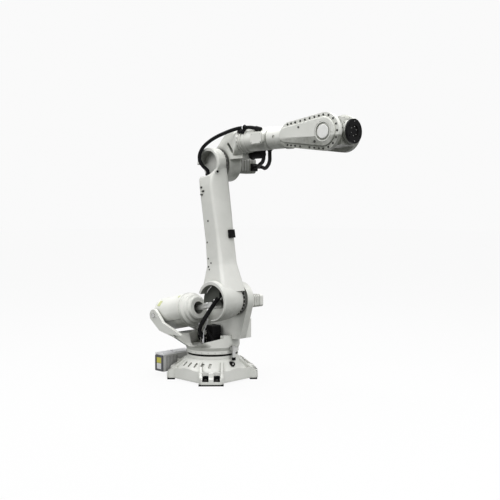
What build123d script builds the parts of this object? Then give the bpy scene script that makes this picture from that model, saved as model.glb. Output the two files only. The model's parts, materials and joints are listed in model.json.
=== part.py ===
from build123d import *
import os
from math import atan2, cos, degrees, hypot, pi, radians, sin, sqrt, tan

# A large six-axis industrial robot arm, in millimetres, +Z up.
# The origin is on the first axis at floor level, +X is the way the arm points,
# and +Y is the side that carries the shoulder and elbow drives.

# Fits and clearances
SEAT = 0.3  # between two pieces of one body that are bolted face to face
RUN = 6.0  # between faces that pass each other when a joint turns
FIT = 0.05  # radial clearance of a shaft in its bearing

# Where the axes lie
SHOULDER_X = 320.0
SHOULDER_Z = 780.0
ARM_LENGTH = 1280.0
ARM_LEAN = 10.5  # the lower arm leans back from upright, in degrees
WRIST_RISE = 200.0  # the fourth axis above the third
WRIST_REACH = 1392.5
TOOL_REACH = 200.0  # flange face beyond the fifth axis

# Base
FOOT_REACH = 434.0
FOOT_WIDTH = 230.0
FOOT_EDGE = 62.0
FOOT_KNEE = 348.0  # where the top of a foot meets the skirt
FOOT_RIB_Y = 96.0
FOOT_RIB_THICK = 20.0
BOLT_RING = 392.0  # foot bolts, measured along the foot
BOLT_SPREAD = 104.0  # the two bolts of one foot
BOLT_HOLE_R = 13.5
BOLT_SEAT_R = 29.0
BOLT_SEAT_Z = 40.0
SHOE_WIDTH = 72.0
SHOE_HEIGHT = 14.0
SKIRT_R = 352.0
SKIRT_Z = 116.0
SKIRT_HALF = 338.0  # the skirt is square in plan between its feet
SKIRT_CORNER = 150.0
SOLE_R = 250.0  # round middle of the base that reaches the floor
NECK_R = 246.0
NECK_Z = 208.0
SEAM_Z = 250.0
PIVOT_R = 150.0
PIVOT_DEPTH = 26.0
POCKET_PITCH = 13.5
POCKET_COUNT = 5
TONGUE_WIDTH = 300.0

# Connector box behind the base
BOX_FRONT = -352.0
BOX_DEPTH = 116.0
BOX_LENGTH = 364.0
BOX_NEAR_Y = -321.0
BOX_BOTTOM = 44.0
BOX_HEIGHT = 160.0
LID_THICK = 16.0
END_PLATE_THICK = 12.0
RIB_COUNT = 9

# Stops of the first axis
STOP_PIN_R = 17.0
STOP_PIN_TOP = 336.0
STOP_PIN_BOTTOM = 199.0
STOP_BLOCK_WIDTH = 54.0

# Rotating frame
TURNTABLE_R = 250.0
TURNTABLE_THICK = 34.0
BOWL_R = 262.0
BOWL_TOP = 430.0
BOWL_WALL = 44.0
BOWL_FLOOR = 26.0
CAVITY_R = BOWL_R - BOWL_WALL
STOP_RING = BOWL_R + 28  # the stop pin, from the first axis
EAR_NEAR = RUN - 5.0
EAR_THICK = 148.0  # low, where the ear stands on the bowl
EAR_BOSS_THICK = 76.0  # round the second axis
EAR_FRONT = 373.0
EAR_LEDGE = 586.0
EAR_BOSS_R = 158.0
NOTCH_LOW = 322.0  # lowest point of the bowl's near rim
HORN_THICK = 34.0
HORN_BOSS_R = 58.0

# Drives
SPIGOT_R = 96.0
SPIGOT_DEPTH = 24.0
GEAR_COVER_R = 132.0
GEAR_COVER_DEPTH = 40.0
MOTOR_TWO_HALF = 66.0
MOTOR_TWO_LENGTH = 192.0
MOTOR_TWO_DROP = 34.0  # its axis below the second axis
MOTOR_ONE_X = 0.46 * CAVITY_R
MOTOR_ONE_Y = -0.37 * CAVITY_R
MOTOR_ONE_SIDE = 0.57 * CAVITY_R
MOTOR_ONE_TOP = 520.0
MOTOR_THREE_SIDE = 162.0
MOTOR_THREE_LENGTH = 250.0
MOTOR_FOUR_R = 46.0
MOTOR_FOUR_LENGTH = 150.0
MOTOR_FOUR_Y = 122.0
MOTOR_FOUR_Z = 80.0  # from the third axis

# Balancer, a closed spring cylinder that pulls on the lower arm
BALANCER_Y = -168.0
TRUNNION_X = -440.0
TRUNNION_Z = 590.0
TRUNNION_PIN_R = 22.0
LINK_R = 115.0  # rod pin from the second axis
TUBE_R = 160.0
TUBE_BACK = -40.0  # along the balancer, from its trunnion
TUBE_FRONT = 325.0
CAP_BACK = -62.0
FRONT_CAP_END = 442.0
ROD_R = 25.0
ROD_HOLE_R = 61.0
ROD_LENGTH = 405.0
ROD_EYE_R = 42.0
ROD_EYE_WIDTH = 84.0
ROD_PIN_R = 22.0

# Lower arm, drawn upright round the second axis
DRUM_NEAR = -315.0
DRUM_R = 187.0
DRUM_RIM = 78.0
ARM_FAR = -30.0
DRUM_FAR_R = 127.0
BEARING_RING_R = 150.0
BEARING_RING_THICK = 24.7
POCKET_R = 160.0
POCKET_DROP = 10.0
POCKET_FLOOR = -60.0
BEAM_NEAR = -216.0
BEAM_HALF = 88.0
BEAM_FRONT_LOW = 116.0  # far front edge, half way down the beam
BEAM_FRONT_HIGH = 146.0  # and just below the elbow
BEAM_CORNER = 34.0
HEAD_NEAR = -140.0
HEAD_R = 150.0
HEAD_POCKET_R = 121.0
HEAD_FLOOR = -52.0
FRONT_BLOCK_Z = 560.0
FRONT_BLOCK_HEIGHT = 74.0
FRONT_BLOCK_DEPTH = 26.0

# Arm house round the third axis
HOUSE_R = 158.0
HOUSE_THICK = 150.0
HOUSE_TOP = 300.0
HOUSE_FRONT = 345.0
HOUSE_NOSE = 325.0
HOUSE_CHIN = 46.0  # underside of its nose
RING_R = 117.0
RING_THICK = 26.0
HOUSING_R = 101.0
HOUSING_END = 690.0
COVER_LENGTH = 132.0
COVER_HEIGHT = 98.0
COVER_THICK = 10.0

# Forearm and wrist
FOREARM_R = 97.0
FOREARM_SPIGOT_R = 74.0
FOREARM_SPIGOT = 34.0
FORK_TAIL = 520.0
CHEEK_R = 155.0
CHEEK_TAIL_R = 97.0
CHEEK_TAIL_X = -440.0
CHEEK_INNER = 107.0
CHEEK_OUTER = 148.0
WRIST_COVER_THICK = 13.0
CAP_R = 57.0
CAP_RECESS_R = 72.0
CAP_PROUD = 5.0
TILT_SWEEP_R = 232.0
TILT_HALF = 101.0
TILT_PIVOT_R = 58.0
TILT_PIVOT_DEPTH = 12.0
TILT_R = 122.0
TILT_NOSE = 138.0
FLANGE_R = 100.0
FLANGE_THICK = 24.0
FLANGE_PIVOT_R = 60.0
FLANGE_BOLT_PCD = 160.0
FLANGE_BOLT_R = 6.0
FLANGE_BOLT_COUNT = 6
FLANGE_BORE_R = 50.0
FLANGE_BORE_DEPTH = 10.0

# Hoses
HOSE_R = 17.5
SHOULDER_HOSE_R = 20.0
GLAND_R = 27.0
GLAND_X = 30.0  # where the shoulder hose enters the lower arm
GLAND_Y = -205.0
GLAND_HEIGHT = 26.0
HEAD_GLAND_X = -46.0  # where the elbow hose leaves the lower arm
HEAD_GLAND_Y = -105.0
HEAD_GLAND_HEIGHT = 16.0

LEAN = radians(ARM_LEAN)
ELBOW_X = SHOULDER_X - ARM_LENGTH * sin(LEAN)
ELBOW_Z = SHOULDER_Z + ARM_LENGTH * cos(LEAN)
WRIST_X = ELBOW_X + WRIST_REACH
WRIST_Z = ELBOW_Z + WRIST_RISE

os.makedirs("parts", exist_ok=True)


def save(shape, node):
    """Writes one node."""
    export_step(shape, f"parts/{node}.step")


def round_x(radius, x0, x1, y=0.0, z=0.0):
    """A cylinder along X from x0 to x1."""
    return Pos((x0 + x1) / 2, y, z) * Rot(0, 90, 0) * Cylinder(radius, x1 - x0)


def round_y(radius, y0, y1, x=0.0, z=0.0):
    """A cylinder along Y from y0 to y1."""
    return Pos(x, (y0 + y1) / 2, z) * Rot(90, 0, 0) * Cylinder(radius, y1 - y0)


def round_z(radius, z0, z1, x=0.0, y=0.0):
    """A cylinder along Z from z0 to z1."""
    return Pos(x, y, (z0 + z1) / 2) * Cylinder(radius, z1 - z0)


def block(x0, x1, y0, y1, z0, z1):
    """A box between two corners."""
    middle = Pos((x0 + x1) / 2, (y0 + y1) / 2, (z0 + z1) / 2)
    return middle * Box(x1 - x0, y1 - y0, z1 - z0)


def side_slab(sketch, y0, y1):
    """A side view, drawn in X and Z, with its thickness from y0 to y1."""
    return Pos(0, y1, 0) * extrude(Plane.XZ * sketch, amount=y1 - y0)


def turned_x(points, x=0.0, y=0.0, z=0.0):
    """A solid of revolution along X: points are (along, radius)."""
    face = make_face(Polyline(*points, close=True))
    return Pos(x, y, z) * revolve(face, Axis.X)


def turned_y(points, x=0.0, y=0.0, z=0.0):
    """A solid of revolution along Y: points are (radius, along)."""
    face = make_face(Polyline(*points, close=True))
    return Pos(x, y, z) * revolve(face, Axis.Y)


def turned_z(points, x=0.0, y=0.0, z=0.0):
    """A solid of revolution along Z: points are (radius, height)."""
    face = Plane.XZ * make_face(Polyline(*points, close=True))
    return Pos(x, y, z) * revolve(face, Axis.Z)


def hull_of(*sketches):
    """The tight outline round several sketches."""
    edges = [edge for sketch in sketches for edge in sketch.edges()]
    return make_hull(edges)


def disc_at(radius, x, z):
    return Pos(x, z) * Circle(radius)


def on_arm(shape):
    """From the upright lower arm to where it leans."""
    return Pos(SHOULDER_X, 0, SHOULDER_Z) * Rot(0, -ARM_LEAN, 0) * shape


def at_elbow(shape):
    return Pos(ELBOW_X, 0, ELBOW_Z) * shape


def at_forearm(shape):
    """X from the elbow, Z from the fourth axis."""
    return Pos(ELBOW_X, 0, WRIST_Z) * shape


def at_wrist(shape):
    return Pos(WRIST_X, 0, WRIST_Z) * shape


def hose(name, points, radius):
    """A hose of straight runs joined by the largest arcs that fit them."""
    spots = [Vector(*point) for point in points]
    runs = [spots[i + 1] - spots[i] for i in range(len(spots) - 1)]
    radii = []
    for first, second in zip(runs, runs[1:]):
        turn = radians(first.get_angle(second))
        shorter = min(first.length, second.length)
        radii.append(0.45 * shorter / tan(turn / 2))
    path = FilletPolyline(*spots, radius=radii)
    start = Plane(origin=path @ 0, z_dir=path % 0)
    tube = sweep(start * Circle(radius), path=path)
    drawn = pi * radius**2 * path.length
    tightest = round(min(radii))
    print(name, "length", round(path.length), "tightest arc", tightest,
          "volume over section times length", round(tube.volume / drawn, 4))
    return tube


# Base

def foot():
    """One foot, pointing along +X, before its bolt seats are cut."""
    low = SHOE_HEIGHT + SEAT
    side = Polyline(
        (NECK_R - 60, low), (FOOT_REACH, low), (FOOT_REACH, FOOT_EDGE),
        (FOOT_KNEE, SKIRT_Z), (NECK_R - 60, SKIRT_Z), close=True,
    )
    body = side_slab(make_face(side), -FOOT_WIDTH / 2, FOOT_WIDTH / 2)
    corners = body.edges().filter_by(Axis.Z).group_by(Axis.X)[-1]
    body = chamfer(corners, 26)
    rib_top = STOP_PIN_BOTTOM - RUN - 3
    rib = Polyline(
        (NECK_R, low), (FOOT_REACH - 14, low), (FOOT_REACH - 14, FOOT_EDGE + 14),
        (FOOT_KNEE + 6, SKIRT_Z + 13), (NECK_R + 26, rib_top), (NECK_R, rib_top),
        close=True,
    )
    for y in (-FOOT_RIB_Y, FOOT_RIB_Y):
        body += side_slab(make_face(rib), y - FOOT_RIB_THICK / 2, y + FOOT_RIB_THICK / 2)
    return body


def foot_cuts():
    """Bolt holes, and seats that open to the front."""
    cuts = None
    for y in (-BOLT_SPREAD / 2, BOLT_SPREAD / 2):
        hole = round_z(BOLT_HOLE_R, -1, SKIRT_Z + 1, BOLT_RING, y)
        hole += round_z(BOLT_SEAT_R, BOLT_SEAT_Z, SKIRT_Z + 20, BOLT_RING, y)
        hole += block(BOLT_RING, FOOT_REACH + 1, y - BOLT_SEAT_R, y + BOLT_SEAT_R,
                      BOLT_SEAT_Z, SKIRT_Z + 20)
        cuts = hole if cuts is None else cuts + hole
    return cuts


def base_casting():
    low = SHOE_HEIGHT + SEAT
    shape = turned_z([
        (0, 0), (SOLE_R, 0), (SOLE_R, low), (SKIRT_R + 60, low), (SKIRT_R + 52, SKIRT_Z - 6),
        (SKIRT_R + 40, SKIRT_Z), (SKIRT_R - 8, SKIRT_Z), (NECK_R + 22, NECK_Z - 14),
        (NECK_R, NECK_Z), (NECK_R, SEAM_Z - 12), (0, SEAM_Z - 12),
    ])
    plan = RectangleRounded(2 * SKIRT_HALF, 2 * SKIRT_HALF, SKIRT_CORNER)
    top_plan = RectangleRounded(2 * SKIRT_HALF - 24, 2 * SKIRT_HALF - 24, SKIRT_CORNER - 12)
    shape &= loft([plan, Pos(0, 0, SEAM_Z) * top_plan])
    for corner in range(4):
        shape += Rot(0, 0, 45 + 90 * corner) * foot()
    tongue = block(BOX_FRONT + SEAT, -NECK_R + 20, -TONGUE_WIDTH / 2, TONGUE_WIDTH / 2,
                   BOX_BOTTOM + 20, BOX_BOTTOM + 110)
    shape += tongue
    for corner in range(4):
        shape -= Rot(0, 0, 45 + 90 * corner) * foot_cuts()
    shape -= block(BOX_FRONT - 2 * BOX_DEPTH, BOX_FRONT + SEAT, BOX_NEAR_Y - 40,
                   BOX_NEAR_Y + BOX_LENGTH + 10, BOX_BOTTOM - SEAT, SEAM_Z)
    slope = degrees(atan2(NECK_Z - 14 - SKIRT_Z, SKIRT_R - 10 - NECK_R - 22))
    pocket_r = (SKIRT_R + NECK_R) / 2 + 4
    pocket_z = (SKIRT_Z + NECK_Z) / 2
    recess = extrude(RectangleRounded(52, 24, 8), amount=16, both=True)
    for side in (-1, 1):
        for number in range(POCKET_COUNT):
            angle = side * (48 + POCKET_PITCH * number)
            place = Rot(0, 0, angle) * Pos(pocket_r, 0, pocket_z)
            shape -= place * Rot(0, slope, 0) * Rot(0, 0, 14 * side) * recess
    shape -= round_z(PIVOT_R + 30, SEAM_Z - PIVOT_DEPTH - 30, SEAM_Z)
    return shape


def base_bearing_ring():
    low = SEAM_Z - 12 + SEAT
    ring = turned_z([
        (PIVOT_R + FIT, low), (NECK_R - 12, low), (NECK_R - 12, SEAM_Z - 3),
        (NECK_R - 15, SEAM_Z), (PIVOT_R + FIT, SEAM_Z),
    ])
    return ring


def foot_shoes():
    half = FOOT_WIDTH / 2
    shoe = block(BOLT_RING - SHOE_WIDTH / 2, BOLT_RING + SHOE_WIDTH / 2,
                 -half, half, 0, SHOE_HEIGHT)
    for side in (-1, 1):
        shoe -= round_z(BOLT_HOLE_R, -1, SHOE_HEIGHT + 1, BOLT_RING, side * BOLT_SPREAD / 2)
    return Compound([Rot(0, 0, 45 + 90 * corner) * shoe for corner in range(4)])


def connector_box():
    back = BOX_FRONT - BOX_DEPTH
    far = BOX_NEAR_Y + BOX_LENGTH
    top = BOX_BOTTOM + BOX_HEIGHT
    shape = block(back, BOX_FRONT, BOX_NEAR_Y, far, BOX_BOTTOM, top)
    pitch = (BOX_LENGTH * 0.45) / RIB_COUNT
    for number in range(RIB_COUNT):
        y = BOX_NEAR_Y + 30 + pitch * number
        shape -= block(BOX_FRONT - 7, BOX_FRONT + 1, y, y + pitch / 2,
                       BOX_BOTTOM + 14, top - 14)
    return shape


def connector_box_lid():
    low = BOX_BOTTOM + BOX_HEIGHT + SEAT
    lip = 7
    plan = Pos(BOX_FRONT - BOX_DEPTH / 2, BOX_NEAR_Y + BOX_LENGTH / 2) * RectangleRounded(
        BOX_DEPTH + 2 * lip, BOX_LENGTH + 2 * lip, 10)
    lid = Pos(0, 0, low) * extrude(plan, amount=LID_THICK)
    knob_y = BOX_NEAR_Y + 150
    lid += round_z(11, low + LID_THICK - 1, low + LID_THICK + 14,
                   BOX_FRONT - BOX_DEPTH / 2, knob_y)
    return lid


def connector_end_plate():
    frame = RectangleRounded(BOX_DEPTH - 4, BOX_HEIGHT - 6, 8)
    window = RectangleRounded(BOX_DEPTH - 40, BOX_HEIGHT - 42, 6)
    middle = Pos(BOX_FRONT - BOX_DEPTH / 2, BOX_BOTTOM + BOX_HEIGHT / 2)
    near = BOX_NEAR_Y - SEAT
    plate = side_slab(middle * frame, near - END_PLATE_THICK, near)
    recess = side_slab(middle * window, near - END_PLATE_THICK - 1,
                       near - END_PLATE_THICK + 4)
    return plate - recess


def stop_block():
    """Rear stop, met by the stop pin at both ends of the first axis."""
    half = STOP_BLOCK_WIDTH / 2
    shape = block(-STOP_RING - 20, -NECK_R + 1, -half, half, NECK_Z - 24, SEAM_Z - 22)
    shape -= round_z(NECK_R + SEAT, 0, SEAM_Z)
    return shape - base_casting()


def stop_boss():
    """Dark socket on the front of the base below the stop pin."""
    top = STOP_PIN_BOTTOM - RUN - 3
    plug = Rot(0, 0, -6) * round_x(21, NECK_R - 30, STOP_RING + 32, 0, top - 21)
    plug -= Rot(0, 0, -6) * round_x(11, STOP_RING + 22, STOP_RING + 40, 0, top - 21)
    return plug


# Frame that turns on the base

TURNTABLE_Z = SEAM_Z + RUN
BOWL_Z = TURNTABLE_Z + TURNTABLE_THICK + SEAT
EAR_FAR = EAR_NEAR + EAR_THICK
EAR_BOSS_FAR = EAR_NEAR + EAR_BOSS_THICK


def turntable_ring():
    top = TURNTABLE_Z + TURNTABLE_THICK
    return turned_z([
        (0, SEAM_Z - PIVOT_DEPTH), (PIVOT_R, SEAM_Z - PIVOT_DEPTH), (PIVOT_R, TURNTABLE_Z),
        (TURNTABLE_R - 4, TURNTABLE_Z), (TURNTABLE_R, TURNTABLE_Z + 4),
        (TURNTABLE_R, top), (0, top),
    ])


def ear_outline():
    """Side view of the ear, from the bowl up to the shoulder boss."""
    boss = disc_at(EAR_BOSS_R, SHOULDER_X, SHOULDER_Z)
    toe = Pos(EAR_FRONT - 60, BOWL_TOP + 10) * Rectangle(120, 60)
    heel = Pos(-BOWL_R + 70, BOWL_TOP - 60) * Rectangle(100, 60)
    return hull_of(boss, toe, heel)


def ear_foot_outline():
    """Side view of the thick foot of the ear."""
    toe = Pos(EAR_FRONT - 60, (BOWL_TOP + EAR_LEDGE) / 2 - 10) * Rectangle(
        120, EAR_LEDGE - BOWL_TOP + 20)
    heel = Pos(-BOWL_R + 90, BOWL_TOP - 40) * Rectangle(120, 60)
    return hull_of(toe, heel)


def horn_outline():
    """Side view of a horn that carries one balancer trunnion."""
    tip = disc_at(HORN_BOSS_R, TRUNNION_X, TRUNNION_Z)
    waist = disc_at(46, TRUNNION_X + 110, TRUNNION_Z - 96)
    root = disc_at(26, -70, BOWL_TOP - 8)
    return hull_of(tip, waist) + hull_of(waist, root)


def near_notch():
    """The near wall of the bowl is low, and its rim sweeps up towards the ear."""
    sweep_up = Polyline(
        (-150, BOWL_TOP + 1), (-84, NOTCH_LOW + 30), (-40, NOTCH_LOW), (40, NOTCH_LOW + 10),
        (150, NOTCH_LOW + 52), (BOWL_R, BOWL_TOP - 14), (BOWL_R + 40, BOWL_TOP + 1), close=True,
    )
    return side_slab(make_face(sweep_up), -BOWL_R - 130, -CAVITY_R * 0.4)


def frame_casting():
    outer = turned_z([
        (0, BOWL_Z), (TURNTABLE_R, BOWL_Z), (BOWL_R, BOWL_Z + 30), (BOWL_R, BOWL_TOP),
        (0, BOWL_TOP),
    ])
    flare = loft([
        Pos(0, 0, BOWL_Z + 20) * Circle(BOWL_R - 10),
        Pos(-70, -110, BOWL_TOP) * RectangleRounded(430, 540, 120),
    ])
    shape = outer + flare
    shape += side_slab(ear_outline(), EAR_NEAR, EAR_BOSS_FAR)
    shape += side_slab(ear_foot_outline(), EAR_NEAR, EAR_FAR)
    horn_gap = TUBE_R + RUN + 4
    near_y = BALANCER_Y - horn_gap
    far_y = BALANCER_Y + horn_gap
    shape += side_slab(horn_outline(), near_y - HORN_THICK, near_y)
    shape += side_slab(horn_outline(), far_y, far_y + HORN_THICK)
    cavity = round_z(BOWL_R - BOWL_WALL, BOWL_Z + BOWL_FLOOR, BOWL_TOP + 1)
    cavity -= block(-BOWL_R, BOWL_R, EAR_NEAR, BOWL_R, 0, BOWL_TOP + 2)
    shape -= cavity
    shape -= near_notch()
    tube_room = TUBE_R + RUN + 2
    shape -= round_x(tube_room, TRUNNION_X - 120, 20, BALANCER_Y,
                     TRUNNION_Z + 20)
    shape -= round_y(DRUM_R + RUN + 2, DRUM_NEAR - 60, EAR_NEAR - 0.01,
                     SHOULDER_X, SHOULDER_Z)
    for y in (near_y - HORN_THICK, far_y):
        shape -= round_y(TRUNNION_PIN_R + SEAT, y - 1, y + HORN_THICK + 1,
                         TRUNNION_X, TRUNNION_Z)
    shape += round_y(SPIGOT_R, EAR_NEAR - RUN - SPIGOT_DEPTH, EAR_NEAR + 1,
                     SHOULDER_X, SHOULDER_Z)
    return shape


def axis_one_motor():
    low = BOWL_Z + BOWL_FLOOR + SEAT
    place = Pos(MOTOR_ONE_X, MOTOR_ONE_Y)
    body = Pos(0, 0, low) * extrude(
        place * RectangleRounded(MOTOR_ONE_SIDE, MOTOR_ONE_SIDE, 18), amount=24)
    inner = MOTOR_ONE_SIDE - 18
    body += Pos(0, 0, low + 24) * extrude(
        place * RectangleRounded(inner, inner, 16), amount=MOTOR_ONE_TOP - low - 24)
    for number in range(4):
        z = low + 50 + 26 * number
        groove = place * (RectangleRounded(inner + 2, inner + 2, 16)
                          - RectangleRounded(inner - 8, inner - 8, 12))
        body -= Pos(0, 0, z) * extrude(groove, amount=10)
    return body


def stop_pin():
    pin = round_z(STOP_PIN_R, STOP_PIN_BOTTOM, STOP_PIN_TOP, STOP_RING, 0)
    arm = block(TURNTABLE_R - 14, STOP_RING + STOP_PIN_R + 5, -26, 26,
                TURNTABLE_Z + TURNTABLE_THICK + 4, TURNTABLE_Z + TURNTABLE_THICK + 34)
    return pin + arm - round_z(BOWL_R + SEAT, 0, BOWL_TOP + 50)


def axis_two_gearbox():
    low = EAR_BOSS_FAR + SEAT
    return turned_y([
        (0, low), (GEAR_COVER_R, low), (GEAR_COVER_R, low + GEAR_COVER_DEPTH - 14),
        (GEAR_COVER_R - 16, low + GEAR_COVER_DEPTH), (0, low + GEAR_COVER_DEPTH),
    ], SHOULDER_X, 0, SHOULDER_Z)


def ribbed_motor(y0, length, half, x, z):
    """A motor along +Y with cooling grooves round its middle."""
    flange = RectangleRounded(2 * half, 2 * half, half * 0.35)
    inner = RectangleRounded(2 * half - 16, 2 * half - 16, half * 0.35)
    place = Pos(x, z)
    shape = side_slab(place * flange, y0, y0 + 18)
    shape += side_slab(place * inner, y0 + 17, y0 + length)
    groove = inner - RectangleRounded(2 * half - 28, 2 * half - 28, half * 0.3)
    count = 5
    pitch = (length - 70) / count
    for number in range(count):
        y = y0 + 40 + pitch * number
        shape -= side_slab(place * groove, y, y + pitch * 0.45)
    return shape


def axis_two_motor():
    low = EAR_BOSS_FAR + GEAR_COVER_DEPTH + 2 * SEAT
    return ribbed_motor(low, MOTOR_TWO_LENGTH, MOTOR_TWO_HALF, SHOULDER_X,
                        SHOULDER_Z - MOTOR_TWO_DROP)


def trunnion_pins():
    inner = TUBE_R - 30
    outer = TUBE_R + RUN + 4 + HORN_THICK + 6
    pins = []
    for side in (-1, 1):
        ends = sorted((BALANCER_Y + side * inner, BALANCER_Y + side * outer))
        pins.append(round_y(TRUNNION_PIN_R, ends[0], ends[1], TRUNNION_X, TRUNNION_Z))
    return Compound(pins)


# Balancer

PIN_ANGLE = atan2(TRUNNION_Z - SHOULDER_Z, TRUNNION_X - SHOULDER_X)
PIN_X = SHOULDER_X + LINK_R * cos(PIN_ANGLE + LEAN)
PIN_Z = SHOULDER_Z + LINK_R * sin(PIN_ANGLE + LEAN)
BALANCER_TILT = degrees(atan2(PIN_Z - TRUNNION_Z, PIN_X - TRUNNION_X))
BALANCER_SPAN = hypot(PIN_Z - TRUNNION_Z, PIN_X - TRUNNION_X)


def on_balancer(shape):
    """From a balancer that lies along X with its trunnion at the origin."""
    return Pos(TRUNNION_X, BALANCER_Y, TRUNNION_Z) * Rot(0, -BALANCER_TILT, 0) * shape


def balancer_tube():
    shape = turned_x([
        (TUBE_BACK, 0), (TUBE_BACK, TUBE_R), (TUBE_FRONT, TUBE_R), (TUBE_FRONT, ROD_HOLE_R),
        (TUBE_BACK + 110, ROD_HOLE_R), (TUBE_BACK + 110, 0),
    ])
    shape -= round_y(TRUNNION_PIN_R + FIT, -TUBE_R - 1, -TUBE_R + 30)
    shape -= round_y(TRUNNION_PIN_R + FIT, TUBE_R - 30, TUBE_R + 1)
    return on_balancer(shape)


def balancer_rear_cap():
    end = TUBE_BACK - SEAT
    return on_balancer(turned_x([
        (end, 0), (end, TUBE_R - 4), (end - 8, TUBE_R - 6), (CAP_BACK - 14, TUBE_R - 40),
        (CAP_BACK - 20, 0),
    ]))


def balancer_front_cap():
    start = TUBE_FRONT + SEAT
    return on_balancer(turned_x([
        (start, ROD_HOLE_R), (start, TUBE_R - 3), (start + 34, TUBE_R - 3),
        (start + 52, TUBE_R - 22), (start + 74, TUBE_R - 26), (start + 86, TUBE_R - 44),
        (FRONT_CAP_END - 8, TUBE_R - 50), (FRONT_CAP_END, TUBE_R - 62),
        (FRONT_CAP_END, ROD_HOLE_R),
    ]))


def balancer_rod():
    half = ROD_EYE_WIDTH / 2
    eye = round_y(ROD_EYE_R, -half, half, BALANCER_SPAN)
    stem = round_x(ROD_R, BALANCER_SPAN - ROD_LENGTH, BALANCER_SPAN - ROD_EYE_R / 2)
    collar = turned_x([
        (BALANCER_SPAN - 78, 0), (BALANCER_SPAN - 78, ROD_R + 8),
        (BALANCER_SPAN - ROD_EYE_R + 8, ROD_R + 8), (BALANCER_SPAN - ROD_EYE_R + 8, 0),
    ])
    shape = eye + stem + collar
    shape -= round_y(ROD_PIN_R + FIT, -half - 1, half + 1, BALANCER_SPAN)
    return on_balancer(shape)


# Lower arm, drawn upright with the second axis at the origin

LINK_X = LINK_R * cos(PIN_ANGLE)
LINK_Z = LINK_R * sin(PIN_ANGLE)


def beam_section(z, rear, front_near, front_far, near):
    """A cross-section of the beam, whose front face slants back towards the near side."""
    far = ARM_FAR + 18
    outline = make_face(Polyline(
        (-rear, near), (front_near, near), (front_far, far), (-rear, far), close=True))
    return Pos(0, 0, z) * fillet(outline.vertices(), BEAM_CORNER)


def beam_body():
    root = DRUM_R - 20
    crown = HEAD_R - 24
    return loft([
        beam_section(60, root, root, root, DRUM_NEAR + 14),
        beam_section(330, BEAM_HALF + 18, BEAM_HALF + 6, BEAM_HALF + 18, BEAM_NEAR - 14),
        beam_section(560, BEAM_HALF + 10, BEAM_HALF, BEAM_FRONT_LOW, BEAM_NEAR),
        beam_section(820, BEAM_HALF + 4, BEAM_HALF - 4, BEAM_FRONT_HIGH - 12, BEAM_NEAR),
        beam_section(ARM_LENGTH - 220, BEAM_HALF, BEAM_HALF - 4, BEAM_FRONT_HIGH, BEAM_NEAR),
        beam_section(ARM_LENGTH - 130, BEAM_HALF + 12, BEAM_HALF + 6, BEAM_FRONT_HIGH + 1,
                     BEAM_NEAR + 20),
        beam_section(ARM_LENGTH - 64, crown, crown + 4, crown + 14, HEAD_NEAR + 2),
    ], ruled=True)


def lower_arm_casting():
    drum = turned_y([
        (0, ARM_FAR), (DRUM_FAR_R, ARM_FAR), (DRUM_FAR_R + 16, ARM_FAR - 60),
        (DRUM_R - 6, DRUM_NEAR + DRUM_RIM + 30), (DRUM_R, DRUM_NEAR + DRUM_RIM),
        (DRUM_R, DRUM_NEAR + 10), (DRUM_R - 10, DRUM_NEAR), (0, DRUM_NEAR),
    ])
    head = turned_y([
        (0, ARM_FAR), (HEAD_R - 10, ARM_FAR), (HEAD_R, ARM_FAR - 12), (HEAD_R, HEAD_NEAR + 10),
        (HEAD_R - 8, HEAD_NEAR), (0, HEAD_NEAR),
    ], 0, 0, ARM_LENGTH)
    shape = drum + beam_body() + head
    shape -= block(-400, 400, ARM_FAR, 100, -400, 175)
    shape -= block(-400, 400, ARM_FAR, 100, ARM_LENGTH - 175, ARM_LENGTH + 300)
    shape -= round_y(POCKET_R, DRUM_NEAR - 1, POCKET_FLOOR, 0, -POCKET_DROP)
    shape -= round_y(HEAD_POCKET_R, BEAM_NEAR - 60, HEAD_FLOOR, 0, ARM_LENGTH)
    shape -= block(-HEAD_R - 20, -HEAD_R / 3, BEAM_NEAR - 60, HEAD_FLOOR,
                   ARM_LENGTH - HEAD_POCKET_R + 12, ARM_LENGTH + 24)
    reach = 1.6 * DRUM_R
    window = Polyline(
        (0, -POCKET_DROP), (reach * cos(radians(113)), reach * sin(radians(113))),
        (-reach, reach * 0.5), (-reach, -reach), (reach * cos(radians(292)), -reach),
        close=True,
    )
    shape -= side_slab(make_face(window), DRUM_NEAR + DRUM_RIM, POCKET_FLOOR - 40)
    mouth = Polyline(
        (0, -POCKET_DROP), (-reach, 0.66 * reach), (-reach, -reach), (-0.24 * reach, -reach),
        close=True,
    )
    shape -= side_slab(make_face(mouth), DRUM_NEAR - 1, DRUM_NEAR + DRUM_RIM + 1)
    post_end = BALANCER_Y + ROD_EYE_WIDTH / 2 + SEAT
    shape += round_y(ROD_EYE_R, post_end, POCKET_FLOOR + 1, LINK_X, LINK_Z)
    shape -= round_y(ROD_PIN_R + SEAT, post_end - 1, POCKET_FLOOR, LINK_X, LINK_Z)
    bore_end = ARM_FAR - SPIGOT_DEPTH
    for z in (0, ARM_LENGTH):
        shape -= round_y(SPIGOT_R + FIT, bore_end + RUN - 2, ARM_FAR + 1, 0, z)
    return on_arm(shape)


def bearing_ring(z):
    """Dark ring between the lower arm and the drive that turns it."""
    near = ARM_FAR + SEAT
    ring = turned_y([
        (SPIGOT_R + FIT, near), (BEARING_RING_R, near),
        (BEARING_RING_R, near + BEARING_RING_THICK - 4),
        (BEARING_RING_R - 4, near + BEARING_RING_THICK),
        (SPIGOT_R + FIT, near + BEARING_RING_THICK),
    ], 0, 0, z)
    return on_arm(ring)


def rod_pin():
    near = BALANCER_Y - ROD_EYE_WIDTH / 2
    shape = round_y(ROD_PIN_R, near - 14, POCKET_FLOOR - SEAT, LINK_X, LINK_Z)
    shape += round_y(ROD_PIN_R + 12, near - 14, near - SEAT, LINK_X, LINK_Z)
    return on_arm(shape)


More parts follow.
